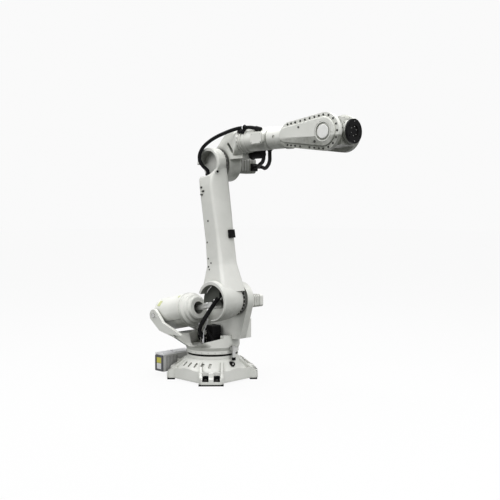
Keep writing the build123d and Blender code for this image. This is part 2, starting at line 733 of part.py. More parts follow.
def arm_front_block():
    """Dark rubber stop block on the front of the beam."""
    front = BEAM_FRONT_LOW + FRONT_BLOCK_DEPTH
    shape = block(BEAM_HALF, front, ARM_FAR - 66, ARM_FAR - 4, FRONT_BLOCK_Z,
                  FRONT_BLOCK_Z + FRONT_BLOCK_HEIGHT)
    shape = chamfer(shape.edges().filter_by(Axis.Z).group_by(Axis.X)[-1], 6)
    return on_arm(shape - Pos(SEAT, 0, 0) * beam_body())


HEAD_GLAND_LOW = ARM_LENGTH - sqrt(HEAD_POCKET_R**2 - (GLAND_R - HEAD_GLAND_X) ** 2) + SEAT
HEAD_GLAND_TOP = HEAD_GLAND_LOW + HEAD_GLAND_HEIGHT
POCKET_GLAND_TOP = sqrt(POCKET_R**2 - (GLAND_X + GLAND_R) ** 2) - POCKET_DROP - SEAT
POCKET_GLAND_LOW = POCKET_GLAND_TOP - GLAND_HEIGHT


def arm_glands():
    """Where the shoulder hose enters the hollow beam and the elbow hose leaves it."""
    low = round_z(GLAND_R, POCKET_GLAND_LOW, POCKET_GLAND_TOP, GLAND_X, GLAND_Y)
    high = round_z(GLAND_R, HEAD_GLAND_LOW, HEAD_GLAND_TOP, HEAD_GLAND_X, HEAD_GLAND_Y)
    return on_arm(Compound([low, high]))


# Arm house, drawn round the third axis

def arm_house_casting():
    face = EAR_NEAR
    back = EAR_NEAR + HOUSE_THICK
    side = hull_of(
        disc_at(60, 0, HOUSE_CHIN + 52),
        Pos(190, HOUSE_TOP - 50) * Rectangle(150, 100),
        Pos(HOUSE_NOSE - 75, (HOUSE_CHIN + 160) / 2) * Rectangle(150, 160 - HOUSE_CHIN),
    )
    shape = side_slab(side + disc_at(HOUSE_R, 0, 0), face, back)
    top = HOUSE_TOP
    shape += loft([
        Plane(origin=(190, (face + back) / 2, (top + 60) / 2), x_dir=(0, 1, 0), z_dir=(1, 0, 0))
        * RectangleRounded(HOUSE_THICK, top - 60, 30),
        Plane(origin=(HOUSE_FRONT, 0, WRIST_RISE), x_dir=(0, 1, 0), z_dir=(1, 0, 0))
        * RectangleRounded(2 * RING_R - 12, 2 * RING_R - 12, RING_R - 12),
    ])
    shape += round_x(RING_R, HOUSE_FRONT - 1, HOUSE_FRONT + RING_THICK, 0, WRIST_RISE)
    shape -= side_slab(Pos(159, 147) * Rot(0, 0, -52) * SlotOverall(122, 27), face - 20, face + 34)
    shape += round_y(SPIGOT_R, face - RUN - SPIGOT_DEPTH, face + 1)
    return at_elbow(shape)


def axis_three_gearbox():
    low = EAR_NEAR + HOUSE_THICK + SEAT
    return at_elbow(turned_y([
        (0, low), (GEAR_COVER_R - 8, low), (GEAR_COVER_R - 8, low + 20),
        (GEAR_COVER_R - 24, low + 34), (0, low + 34),
    ]))


def axis_three_motor():
    low = EAR_NEAR + HOUSE_THICK + 34 + 2 * SEAT
    shape = ribbed_motor(low, MOTOR_THREE_LENGTH, MOTOR_THREE_SIDE / 2, 0, 0)
    return at_elbow(shape)


def motor_connector():
    """Connector block on the front of the elbow motor's outer end."""
    low = EAR_NEAR + HOUSE_THICK + 34 + 2 * SEAT + MOTOR_THREE_LENGTH - 78
    front = MOTOR_THREE_SIDE / 2 - 8 + SEAT
    shape = block(front, front + 30, low, low + 72, -52, 20)
    return at_elbow(chamfer(shape.edges().filter_by(Axis.Y).group_by(Axis.X)[-1], 6))


def axis_four_motor():
    start = HOUSE_NOSE + SEAT
    shape = turned_x([
        (start, 0), (start, MOTOR_FOUR_R), (start + 16, MOTOR_FOUR_R),
        (start + 16, MOTOR_FOUR_R - 7), (start + MOTOR_FOUR_LENGTH - 10, MOTOR_FOUR_R - 7),
        (start + MOTOR_FOUR_LENGTH, MOTOR_FOUR_R - 16), (start + MOTOR_FOUR_LENGTH, 0),
    ], 0, MOTOR_FOUR_Y, MOTOR_FOUR_Z)
    return at_elbow(shape)


def axis_four_housing():
    start = HOUSE_FRONT + RING_THICK + SEAT
    shape = turned_x([
        (start, 0), (start, RING_R - 6), (start + 16, RING_R - 6), (start + 20, RING_R - 14),
        (start + 34, RING_R - 14), (start + 38, RING_R - 8), (start + 56, RING_R - 8),
        (start + 64, RING_R - 18), (start + 84, HOUSING_R), (HOUSING_END - 12, HOUSING_R),
        (HOUSING_END, HOUSING_R - 8), (HOUSING_END, FOREARM_SPIGOT_R + FIT),
        (HOUSING_END - FOREARM_SPIGOT - 2, FOREARM_SPIGOT_R + FIT),
        (HOUSING_END - FOREARM_SPIGOT - 2, 0),
    ])
    pad = side_slab(Pos(HOUSING_END - COVER_LENGTH / 2 - 10, 0)
                    * RectangleRounded(COVER_LENGTH + 14, COVER_HEIGHT + 14, 34),
                    -HOUSING_R - 22, -HOUSING_R + 50)
    pad -= round_x(FOREARM_SPIGOT_R + 12, HOUSING_END - 60, HOUSING_END + 30)
    shape += pad
    return at_forearm(shape)


def axis_four_cover():
    near = -HOUSING_R - 22 - SEAT
    plate = side_slab(Pos(HOUSING_END - COVER_LENGTH / 2 - 10, 0)
                      * RectangleRounded(COVER_LENGTH, COVER_HEIGHT, 28),
                      near - COVER_THICK, near)
    return at_forearm(plate)


# Forearm and wrist

def forearm_tube():
    start = HOUSING_END + RUN
    end = WRIST_REACH - FORK_TAIL
    shape = turned_x([
        (HOUSING_END - FOREARM_SPIGOT, 0), (HOUSING_END - FOREARM_SPIGOT, FOREARM_SPIGOT_R),
        (start, FOREARM_SPIGOT_R), (start, FOREARM_R - 4), (start + 6, FOREARM_R),
        (end, FOREARM_R), (end, 0),
    ])
    shape -= round_y(15, -FOREARM_R - 1, -FOREARM_R + 9, start + 96)
    return at_forearm(shape)


def cheek_outline(grow):
    return hull_of(disc_at(CHEEK_R + grow, 0, 0), disc_at(CHEEK_TAIL_R + grow, CHEEK_TAIL_X, 0))


def wrist_fork():
    side = side_slab(cheek_outline(0), -CHEEK_OUTER, CHEEK_OUTER)
    plan = Polyline(
        (CHEEK_R, CHEEK_OUTER), (CHEEK_TAIL_X + 40, CHEEK_OUTER),
        (CHEEK_TAIL_X - 50, FOREARM_R - 4), (CHEEK_TAIL_X - 120, FOREARM_R - 4),
        (CHEEK_TAIL_X - 120, 4 - FOREARM_R), (CHEEK_TAIL_X - 50, 4 - FOREARM_R),
        (CHEEK_TAIL_X + 40, -CHEEK_OUTER), (CHEEK_R, -CHEEK_OUTER), close=True,
    )
    shape = side & (Pos(0, 0, -CHEEK_R) * extrude(make_face(plan), amount=2 * CHEEK_R))
    collar_end = -FORK_TAIL + SEAT
    shape -= block(-2 * FORK_TAIL, collar_end, -FOREARM_R, FOREARM_R, -CHEEK_R, CHEEK_R)
    shape += round_x(FOREARM_R + 7, collar_end, CHEEK_TAIL_X - 30)
    shape -= round_y(TILT_SWEEP_R, -CHEEK_INNER, CHEEK_INNER)
    for side_y in (-1, 1):
        ends = sorted((side_y * (CHEEK_INNER - 1), side_y * (CHEEK_INNER + TILT_PIVOT_DEPTH + 2)))
        shape -= round_y(TILT_PIVOT_R + FIT, ends[0], ends[1])
    return at_wrist(shape)


def wrist_cover(side):
    near = CHEEK_OUTER + SEAT
    outline = hull_of(disc_at(CHEEK_R - 36, 0, 0),
                      disc_at(CHEEK_TAIL_R - 34, CHEEK_TAIL_X + 24, 0))
    ends = sorted((side * near, side * (near + WRIST_COVER_THICK)))
    shape = side_slab(outline, ends[0], ends[1])
    outer = shape.faces().sort_by(Axis.Y)[0 if side < 0 else -1]
    shape = chamfer(outer.outer_wire().edges(), 5)
    ends = sorted((side * (near + 4), side * (near + WRIST_COVER_THICK + 1)))
    shape -= round_y(CAP_RECESS_R, ends[0], ends[1])
    return at_wrist(shape)


def wrist_cap(side):
    """Plain round cap in the recess of the wrist cover."""
    near = CHEEK_OUTER + 2 * SEAT + 4
    far = CHEEK_OUTER + SEAT + WRIST_COVER_THICK + CAP_PROUD
    points = [(0, near), (CAP_R, near), (CAP_R, far - 4), (CAP_R - 5, far), (0, far)]
    return at_wrist(turned_y([(r, side * y) for r, y in points]))


def tilt_housing():
    outline = hull_of(disc_at(TILT_R, 0, 0), Pos(TILT_NOSE - 30, 0) * Rectangle(60, 2 * TILT_R - 26))
    shape = side_slab(outline, -TILT_HALF, TILT_HALF)
    plan = Polyline(
        (-TILT_R, TILT_HALF), (TILT_NOSE - 34, TILT_HALF), (TILT_NOSE, TILT_HALF - 6),
        (TILT_NOSE, 6 - TILT_HALF), (TILT_NOSE - 34, -TILT_HALF), (-TILT_R, -TILT_HALF),
        close=True,
    )
    shape &= Pos(0, 0, -TILT_R) * extrude(make_face(plan), amount=2 * TILT_R)
    for side_y in (-1, 1):
        ends = sorted((side_y * (TILT_HALF - 1), side_y * (CHEEK_INNER + TILT_PIVOT_DEPTH)))
        shape += round_y(TILT_PIVOT_R, ends[0], ends[1])
    return at_wrist(shape)


def tilt_front_ring():
    start = TILT_NOSE + SEAT
    end = TOOL_REACH - FLANGE_THICK - RUN
    return at_wrist(turned_x([
        (start, FLANGE_PIVOT_R + FIT), (start, TILT_HALF - 4), (start + 10, TILT_HALF - 4),
        (start + 14, TILT_HALF - 10), (end, TILT_HALF - 12), (end, FLANGE_PIVOT_R + FIT),
    ]))


def tool_flange():
    back = TOOL_REACH - FLANGE_THICK
    shape = turned_x([
        (TILT_NOSE + SEAT + 1, 0), (TILT_NOSE + SEAT + 1, FLANGE_PIVOT_R),
        (back, FLANGE_PIVOT_R), (back, FLANGE_R - 2), (back + 2, FLANGE_R),
        (TOOL_REACH - 2, FLANGE_R), (TOOL_REACH, FLANGE_R - 2), (TOOL_REACH, FLANGE_BORE_R),
        (TOOL_REACH - FLANGE_BORE_DEPTH, FLANGE_BORE_R), (TOOL_REACH - FLANGE_BORE_DEPTH, 0),
    ])
    for number in range(FLANGE_BOLT_COUNT):
        angle = 2 * pi * number / FLANGE_BOLT_COUNT + pi / 6
        shape -= round_x(FLANGE_BOLT_R, TOOL_REACH - 20, TOOL_REACH + 1,
                         FLANGE_BOLT_PCD / 2 * cos(angle), FLANGE_BOLT_PCD / 2 * sin(angle))
    return at_wrist(shape)


# Hoses

def arm_point(x, y, z):
    """A point of the upright lower arm, where it leans."""
    return (SHOULDER_X + x * cos(LEAN) - z * sin(LEAN), y,
            SHOULDER_Z + x * sin(LEAN) + z * cos(LEAN))


def elbow_point(x, y, z):
    """A point of the upright lower arm, leaning, seen from the third axis."""
    spot = arm_point(x, y, z)
    return (spot[0] - ELBOW_X, spot[1], spot[2] - ELBOW_Z)


FRAME_GLAND_X = 0.294 * CAVITY_R
FRAME_GLAND_Y = -0.77 * CAVITY_R
FRAME_GLAND_TOP = 346.0
SHOULDER_ROUTE = [
    (FRAME_GLAND_X, FRAME_GLAND_Y, FRAME_GLAND_TOP + SEAT), (FRAME_GLAND_X, FRAME_GLAND_Y, 388),
    (52, -188, 432), (52, -216, 474), (86, -238, 518), (140, -252, 576), (206, -258, 648),
    (262, -254, 716), (300, -238, 776), (326, -216, 818),
    arm_point(GLAND_X, GLAND_Y, POCKET_GLAND_LOW - 42),
    arm_point(GLAND_X, GLAND_Y, POCKET_GLAND_LOW - SEAT),
]
ELBOW_ROUTE = [
    elbow_point(HEAD_GLAND_X, HEAD_GLAND_Y, HEAD_GLAND_TOP + SEAT),
    elbow_point(HEAD_GLAND_X, HEAD_GLAND_Y, HEAD_GLAND_TOP + 30), (-70, -136, -20),
    (-92, -160, 34), (-84, -166, 92), (-48, -160, 150), (4, -148, 192), (60, -134, 225),
    (125, -120, 252), (199, -107, 275), (276, -97, 294), (355, -89, 306), (425, -84, 308),
    (500, -82, 304), (540, -82, 298), (570, -82, 290),
]
CONNECTOR_FRONT = MOTOR_THREE_SIDE / 2 - 8 + SEAT + 30
FRONT_LOOP_X = 522.0
REAR_LOOP_X = 596.0
LOOP_Y = 70.0
LOOP_TOP = 99.7
FRONT_LOOP_END = 376.0
REAR_LOOP_END = 412.5
LOOP_END_Z = -12.0
LOOP_FRONT_ROUTE = [
    (FRONT_LOOP_X, LOOP_Y, LOOP_TOP), (FRONT_LOOP_X, LOOP_Y, 62), (498, 94, 30),
    (436, 142, 6), (352, 204, -2), (266, 276, -8), (202, 342, -12),
    (156, FRONT_LOOP_END, LOOP_END_Z), (CONNECTOR_FRONT + SEAT, FRONT_LOOP_END, LOOP_END_Z),
]
LOOP_REAR_ROUTE = [
    (REAR_LOOP_X, LOOP_Y, LOOP_TOP), (REAR_LOOP_X, LOOP_Y, 62), (574, 96, 22),
    (520, 142, -8), (450, 198, -26), (375, 258, -36), (292, 326, -36), (222, 386, -24),
    (166, REAR_LOOP_END, LOOP_END_Z), (CONNECTOR_FRONT + SEAT, REAR_LOOP_END, LOOP_END_Z),
]


def hose_clamp():
    """Clip that holds the elbow hose on the fourth axis housing."""
    spot = Vector(*ELBOW_ROUTE[12])
    bore = HOSE_R + 1.4
    shape = round_x(bore + 7, spot.X - 7, spot.X + 7, spot.Y, spot.Z)
    shape += block(spot.X - 7, spot.X + 7, spot.Y - 22, spot.Y + 22, WRIST_RISE + 50, spot.Z)
    shape -= round_x(bore, spot.X - 8, spot.X + 8, spot.Y, spot.Z)
    shape -= round_x(RING_R - 8 + SEAT, spot.X - 60, spot.X + 60, 0, WRIST_RISE)
    return at_elbow(shape)


def frame_gland():
    low = BOWL_Z + BOWL_FLOOR + SEAT
    return round_z(GLAND_R - 5, low, FRAME_GLAND_TOP, FRAME_GLAND_X, FRAME_GLAND_Y)


def housing_glands():
    """Glands on the far underside of the fourth axis housing, and one on its near top."""
    room = round_x(HOUSING_R + SEAT, 0, HOUSING_END, 0, WRIST_RISE)
    pad = COVER_LENGTH + 14 + 2 * SEAT
    pad_x = HOUSING_END - COVER_LENGTH / 2 - 10
    pad_half = COVER_HEIGHT / 2 + 7 + SEAT
    room += block(pad_x - pad / 2, pad_x + pad / 2, -HOUSING_R - 40, 0,
                  WRIST_RISE - pad_half, WRIST_RISE + pad_half)
    glands = []
    for x in (FRONT_LOOP_X, REAR_LOOP_X):
        glands.append(round_z(GLAND_R - 3, LOOP_TOP + SEAT, WRIST_RISE - 50, x, LOOP_Y) - room)
    tip = Vector(*ELBOW_ROUTE[-1])
    way = (tip - Vector(*ELBOW_ROUTE[-2])).normalized()
    place = Plane(origin=tip + way * SEAT, z_dir=way)
    glands.append(place * Pos(0, 0, 30) * Cylinder(GLAND_R - 4, 60) - room)
    return at_elbow(Compound([solid for gland in glands for solid in gland.solids()]))


def main():
    save(base_casting(), "base_casting")
    save(base_bearing_ring(), "base_bearing_ring")
    save(foot_shoes(), "foot_shoes")
    save(connector_box(), "connector_box")
    save(connector_box_lid(), "connector_box_lid")
    save(connector_end_plate(), "connector_end_plate")
    save(stop_block(), "stop_block")
    save(stop_boss() - base_casting(), "stop_boss")
    save(turntable_ring(), "turntable_ring")
    save(frame_casting(), "frame_casting")
    save(axis_one_motor(), "axis_one_motor")
    save(stop_pin(), "stop_pin")
    save(axis_two_gearbox(), "axis_two_gearbox")
    save(axis_two_motor(), "axis_two_motor")
    save(trunnion_pins(), "trunnion_pins")
    save(balancer_tube(), "balancer_tube")
    save(balancer_rear_cap(), "balancer_rear_cap")
    save(balancer_front_cap(), "balancer_front_cap")
    save(balancer_rod(), "balancer_rod")
    save(lower_arm_casting(), "lower_arm_casting")
    save(Compound([bearing_ring(0), bearing_ring(ARM_LENGTH)]), "arm_bearing_rings")
    save(rod_pin(), "rod_pin")
    save(arm_front_block(), "arm_front_block")
    save(arm_house_casting(), "arm_house_casting")
    save(axis_three_gearbox(), "axis_three_gearbox")
    save(axis_three_motor(), "axis_three_motor")
    save(motor_connector(), "motor_connector")
    save(axis_four_motor(), "axis_four_motor")
    save(axis_four_housing(), "axis_four_housing")
    save(axis_four_cover(), "axis_four_cover")
    save(forearm_tube(), "forearm_tube")
    save(wrist_fork(), "wrist_fork")
    save(Compound([wrist_cover(-1), wrist_cover(1)]), "wrist_covers")
    save(Compound([wrist_cap(-1), wrist_cap(1)]), "wrist_caps")
    save(tilt_housing(), "tilt_housing")
    save(tilt_front_ring(), "tilt_front_ring")
    save(tool_flange(), "tool_flange")
    save(hose("shoulder_hose", SHOULDER_ROUTE, SHOULDER_HOSE_R), "shoulder_hose")
    save(at_elbow(hose("elbow_hose", ELBOW_ROUTE, HOSE_R)), "elbow_hose")
    save(at_elbow(hose("loop_hose_front", LOOP_FRONT_ROUTE, HOSE_R)), "loop_hose_front")
    save(at_elbow(hose("loop_hose_rear", LOOP_REAR_ROUTE, HOSE_R)), "loop_hose_rear")
    save(frame_gland(), "frame_gland")
    save(arm_glands(), "arm_glands")
    save(housing_glands(), "housing_glands")
    save(hose_clamp(), "hose_clamp")


main()
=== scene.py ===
"""Looks for the six-axis robot arm: camera, light, materials, hoses, screws and small fittings."""

import json
import math

import bmesh
import bpy
from mathutils import Matrix, Vector
from mathutils.bvhtree import BVHTree

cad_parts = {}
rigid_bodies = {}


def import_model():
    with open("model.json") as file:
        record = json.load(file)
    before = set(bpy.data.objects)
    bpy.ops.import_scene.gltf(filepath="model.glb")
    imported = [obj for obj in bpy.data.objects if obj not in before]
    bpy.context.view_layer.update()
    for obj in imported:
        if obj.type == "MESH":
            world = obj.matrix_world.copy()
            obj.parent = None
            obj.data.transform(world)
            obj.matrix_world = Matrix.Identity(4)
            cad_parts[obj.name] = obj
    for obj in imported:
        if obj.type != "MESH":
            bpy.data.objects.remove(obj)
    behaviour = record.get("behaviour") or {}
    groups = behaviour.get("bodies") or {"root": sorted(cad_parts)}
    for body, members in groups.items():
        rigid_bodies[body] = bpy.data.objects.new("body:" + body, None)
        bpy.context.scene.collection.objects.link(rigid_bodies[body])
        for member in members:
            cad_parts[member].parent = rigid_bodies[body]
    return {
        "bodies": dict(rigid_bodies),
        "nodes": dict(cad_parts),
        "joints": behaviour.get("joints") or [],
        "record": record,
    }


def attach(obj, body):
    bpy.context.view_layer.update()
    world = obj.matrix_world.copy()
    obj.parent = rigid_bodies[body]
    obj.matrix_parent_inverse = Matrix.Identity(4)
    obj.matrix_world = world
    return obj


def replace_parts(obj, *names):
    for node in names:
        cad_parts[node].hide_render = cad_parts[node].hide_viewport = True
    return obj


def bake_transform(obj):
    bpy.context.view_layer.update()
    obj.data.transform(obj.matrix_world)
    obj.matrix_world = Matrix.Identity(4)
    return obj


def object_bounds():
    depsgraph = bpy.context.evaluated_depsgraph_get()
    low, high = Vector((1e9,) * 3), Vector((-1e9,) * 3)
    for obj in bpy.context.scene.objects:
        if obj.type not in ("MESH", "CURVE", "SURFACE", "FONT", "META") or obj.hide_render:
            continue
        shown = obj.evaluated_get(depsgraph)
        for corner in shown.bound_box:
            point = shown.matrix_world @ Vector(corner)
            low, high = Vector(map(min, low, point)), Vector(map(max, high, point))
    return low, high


MM = 0.001

# Sizes that the solids also have, in millimetres
SEAT = 0.3  # between two pieces that are bolted face to face
SHOULDER = Vector((320.0, 0.0, 780.0))
ARM_LENGTH = 1280.0
LEAN = math.radians(10.5)  # of the lower arm, back from upright
ELBOW = SHOULDER + ARM_LENGTH * Vector((-math.sin(LEAN), 0.0, math.cos(LEAN)))
WRIST = ELBOW + Vector((1392.5, 0.0, 200.0))
FOREARM = Vector((ELBOW.x, 0.0, WRIST.z))

FOOT_REACH = 434.0
FOOT_EDGE = 62.0
FOOT_KNEE = 348.0  # where the top of a foot meets the skirt
BOLT_RING = 392.0  # foot bolts, measured along the foot
BOLT_SPREAD = 104.0  # the two bolts of one foot
BOLT_SEAT_R = 29.0
BOLT_SEAT_Z = 40.0
SKIRT_Z = 116.0
SEAM_Z = 250.0
TURNTABLE_R = 250.0
STOP_PIN_R = 17.0
STOP_PIN_BOTTOM = 199.0
STOP_RING = 290.0  # the stop pin, from the first axis

BOX_MIDDLE_X = -410.0
BOX_NEAR_Y = -321.0
BOX_LENGTH = 364.0
BOX_BOTTOM = 44.0
BOX_HEIGHT = 160.0
LID_THICK = 16.0
END_PLATE_THICK = 12.0

CAVITY_R = 218.0
EAR_FACE = 77.0  # drive side of the ear, round the second axis
GEAR_COVER_DEPTH = 40.0
HORN_THICK = 34.0
HORN_GAP = 10.0  # between a horn and the balancer's tube

TRUNNION = Vector((-440.0, -168.0, 590.0))
LINK_R = 115.0  # rod pin from the second axis
TUBE_R = 160.0
TUBE_FRONT = 325.0

ARM_FAR = -30.0
POCKET_R = 160.0
POCKET_DROP = 10.0
HEAD_POCKET_R = 121.0

HOUSE_FRONT = 345.0
ELBOW_GEAR_FACE = 185.3  # drive side of the third axis's gearbox
RING_R = 117.0
RING_THICK = 26.0
HOUSING_R = 101.0
HOUSING_END = 690.0
COVER_THICK = 10.0
COVER_PAD = 22.0  # the flat that the cover sits on, beyond the housing

CHEEK_OUTER = 148.0
WRIST_COVER_FACE = CHEEK_OUTER + SEAT + 13.0
TILT_R = 122.0
TILT_NOSE = 138.0

HOSE_R = 17.5
SHOULDER_HOSE_R = 20.0
GLAND_R = 27.0
GLAND_X, GLAND_Y, GLAND_HEIGHT = 30.0, -205.0, 26.0  # at the lower arm's drum
HEAD_GLAND_X, HEAD_GLAND_Y, HEAD_GLAND_HEIGHT = -46.0, -105.0, 16.0  # at its head


def load_frame():
    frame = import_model()
    low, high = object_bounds()
    return frame, [list(low), list(high)]


# Frames of reference, each from its own millimetres to those of the whole

def spot(origin, tilt=0.0):
    """A local frame at origin, turned back by tilt about Y."""
    return Matrix.Translation(origin) @ Matrix.Rotation(-tilt, 4, "Y")


def on_arm():
    """On the second axis, with Z along the lower arm."""
    return spot(SHOULDER, LEAN)


def on_balancer():
    """On the trunnion, with X along the balancer toward its rod pin."""
    angle = math.atan2(TRUNNION.z - SHOULDER.z, TRUNNION.x - SHOULDER.x) + LEAN
    pin_x = SHOULDER.x + LINK_R * math.cos(angle)
    pin_z = SHOULDER.z + LINK_R * math.sin(angle)
    return spot(TRUNNION, math.atan2(pin_z - TRUNNION.z, pin_x - TRUNNION.x))


def facing(axis):
    """Turns local +Z to the given direction."""
    return Vector(axis).normalized().to_track_quat("Z", "Y").to_matrix().to_4x4()


# Camera, light and floor

def aim(obj, way):
    """Turns a camera or a lamp to look along way."""
    obj.rotation_mode = "QUATERNION"
    obj.rotation_quaternion = way.to_track_quat("-Z", "Y")


def make_camera():
    """In front of the robot's right side. Its values were fitted to the photograph."""
    azimuth, yaw, pitch = math.radians(-42.99), math.radians(2.74), math.radians(-2.7)
    distance, height = 7539.47, 1580.7
    picture_pixels, focal_pixels = 500.0, 786.43
    data = bpy.data.cameras.new("camera")
    data.sensor_width = 36.0
    data.lens = focal_pixels / picture_pixels * 36.0
    data.clip_end = 200.0
    camera = bpy.data.objects.new("camera", data)
    bpy.context.scene.collection.objects.link(camera)
    place = Vector((distance * math.cos(azimuth), distance * math.sin(azimuth), height))
    inward = Vector((-math.cos(azimuth), -math.sin(azimuth), 0.0))
    level = Matrix.Rotation(-yaw, 3, "Z") @ inward
    camera.location = place * MM
    aim(camera, level * math.cos(pitch) + Vector((0, 0, 1)) * math.sin(pitch))
    bpy.context.scene.camera = camera


def area_light(name, place, target, size, power):
    """A round soft light, its places and size in metres and its power in watts."""
    data = bpy.data.lights.new(name, "AREA")
    data.shape = "DISK"
    data.size = size
    data.energy = power
    lamp = bpy.data.objects.new(name, data)
    bpy.context.scene.collection.objects.link(lamp)
    lamp.location = place
    aim(lamp, Vector(target) - Vector(place))


def make_world():
    """Bright from above and dim from below, and plain near-white behind the object."""
    below, level, above = (0.06, 0.066, 0.055, 1), (0.42, 0.43, 0.42, 1), (1.0, 1.0, 1.0, 1)
    strength, backdrop = 0.88, 0.955
    world = bpy.data.worlds.new("studio")
    bpy.context.scene.world = world
    world.use_nodes = True
    tree = world.node_tree
    tree.nodes.clear()
    new = tree.nodes.new
    coords = new("ShaderNodeTexCoord")
    split = new("ShaderNodeSeparateXYZ")
    shift = new("ShaderNodeMapRange")
    shift.inputs["From Min"].default_value = -1.0
    shift.inputs["From Max"].default_value = 1.0
    ramp = new("ShaderNodeValToRGB")
    ramp.color_ramp.elements[0].position = 0.0
    ramp.color_ramp.elements[0].color = below
    ramp.color_ramp.elements[1].position = 1.0
    ramp.color_ramp.elements[1].color = above
    ramp.color_ramp.elements.new(0.5).color = level
    glow = new("ShaderNodeBackground")
    glow.inputs["Strength"].default_value = strength
    plain = new("ShaderNodeBackground")
    plain.inputs["Color"].default_value = (backdrop, backdrop, backdrop, 1)
    ray = new("ShaderNodeLightPath")
    mix = new("ShaderNodeMixShader")
    out = new("ShaderNodeOutputWorld")
    link = tree.links.new
    link(coords.outputs["Generated"], split.inputs[0])
    link(split.outputs["Z"], shift.inputs["Value"])
    link(shift.outputs["Result"], ramp.inputs["Fac"])
    link(ramp.outputs["Color"], glow.inputs["Color"])
    link(ray.outputs["Is Camera Ray"], mix.inputs[0])
    link(glow.outputs[0], mix.inputs[1])
    link(plain.outputs[0], mix.inputs[2])
    link(mix.outputs[0], out.inputs["Surface"])


def make_floor():
    """A white floor that takes a faint shadow and sends no light back up."""
    half, grey, glow = 60.0, 0.06, 0.905
    mesh = bpy.data.meshes.new("floor")
    mesh.from_pydata([(-half, -half, 0), (half, -half, 0), (half, half, 0), (-half, half, 0)],
                     [], [(0, 1, 2, 3)])
    floor = bpy.data.objects.new("floor", mesh)
    bpy.context.scene.collection.objects.link(floor)
    mat = bpy.data.materials.new("floor")
    mat.use_nodes = True
    shader = mat.node_tree.nodes["Principled BSDF"]
    shader.inputs["Base Color"].default_value = (grey, grey, grey, 1)
    shader.inputs["Roughness"].default_value = 0.9
    shader.inputs["Specular IOR Level"].default_value = 0.0
    shader.inputs["Emission Color"].default_value = (1, 1, 1, 1)
    shader.inputs["Emission Strength"].default_value = glow
    mesh.materials.append(mat)
    floor.visible_diffuse = False


def make_studio():
    make_world()
    area_light("key", (0.6, -6.0, 6.2), (0.3, 0, 1.2), size=4.4, power=205)
    area_light("top", (0.2, 0.4, 7.0), (0.4, 0, 1.2), size=4.0, power=235)
    area_light("side", (6.4, -0.4, 4.4), (0.2, 0, 1.1), size=4.0, power=165)
    make_floor()
    view = bpy.context.scene.view_settings
    view.view_transform = "Standard"
    view.look = "None"
    view.exposure = 0.0
    view.gamma = 1.0


# Materials

def dim(colour, share):
    return tuple(share * c for c in colour)


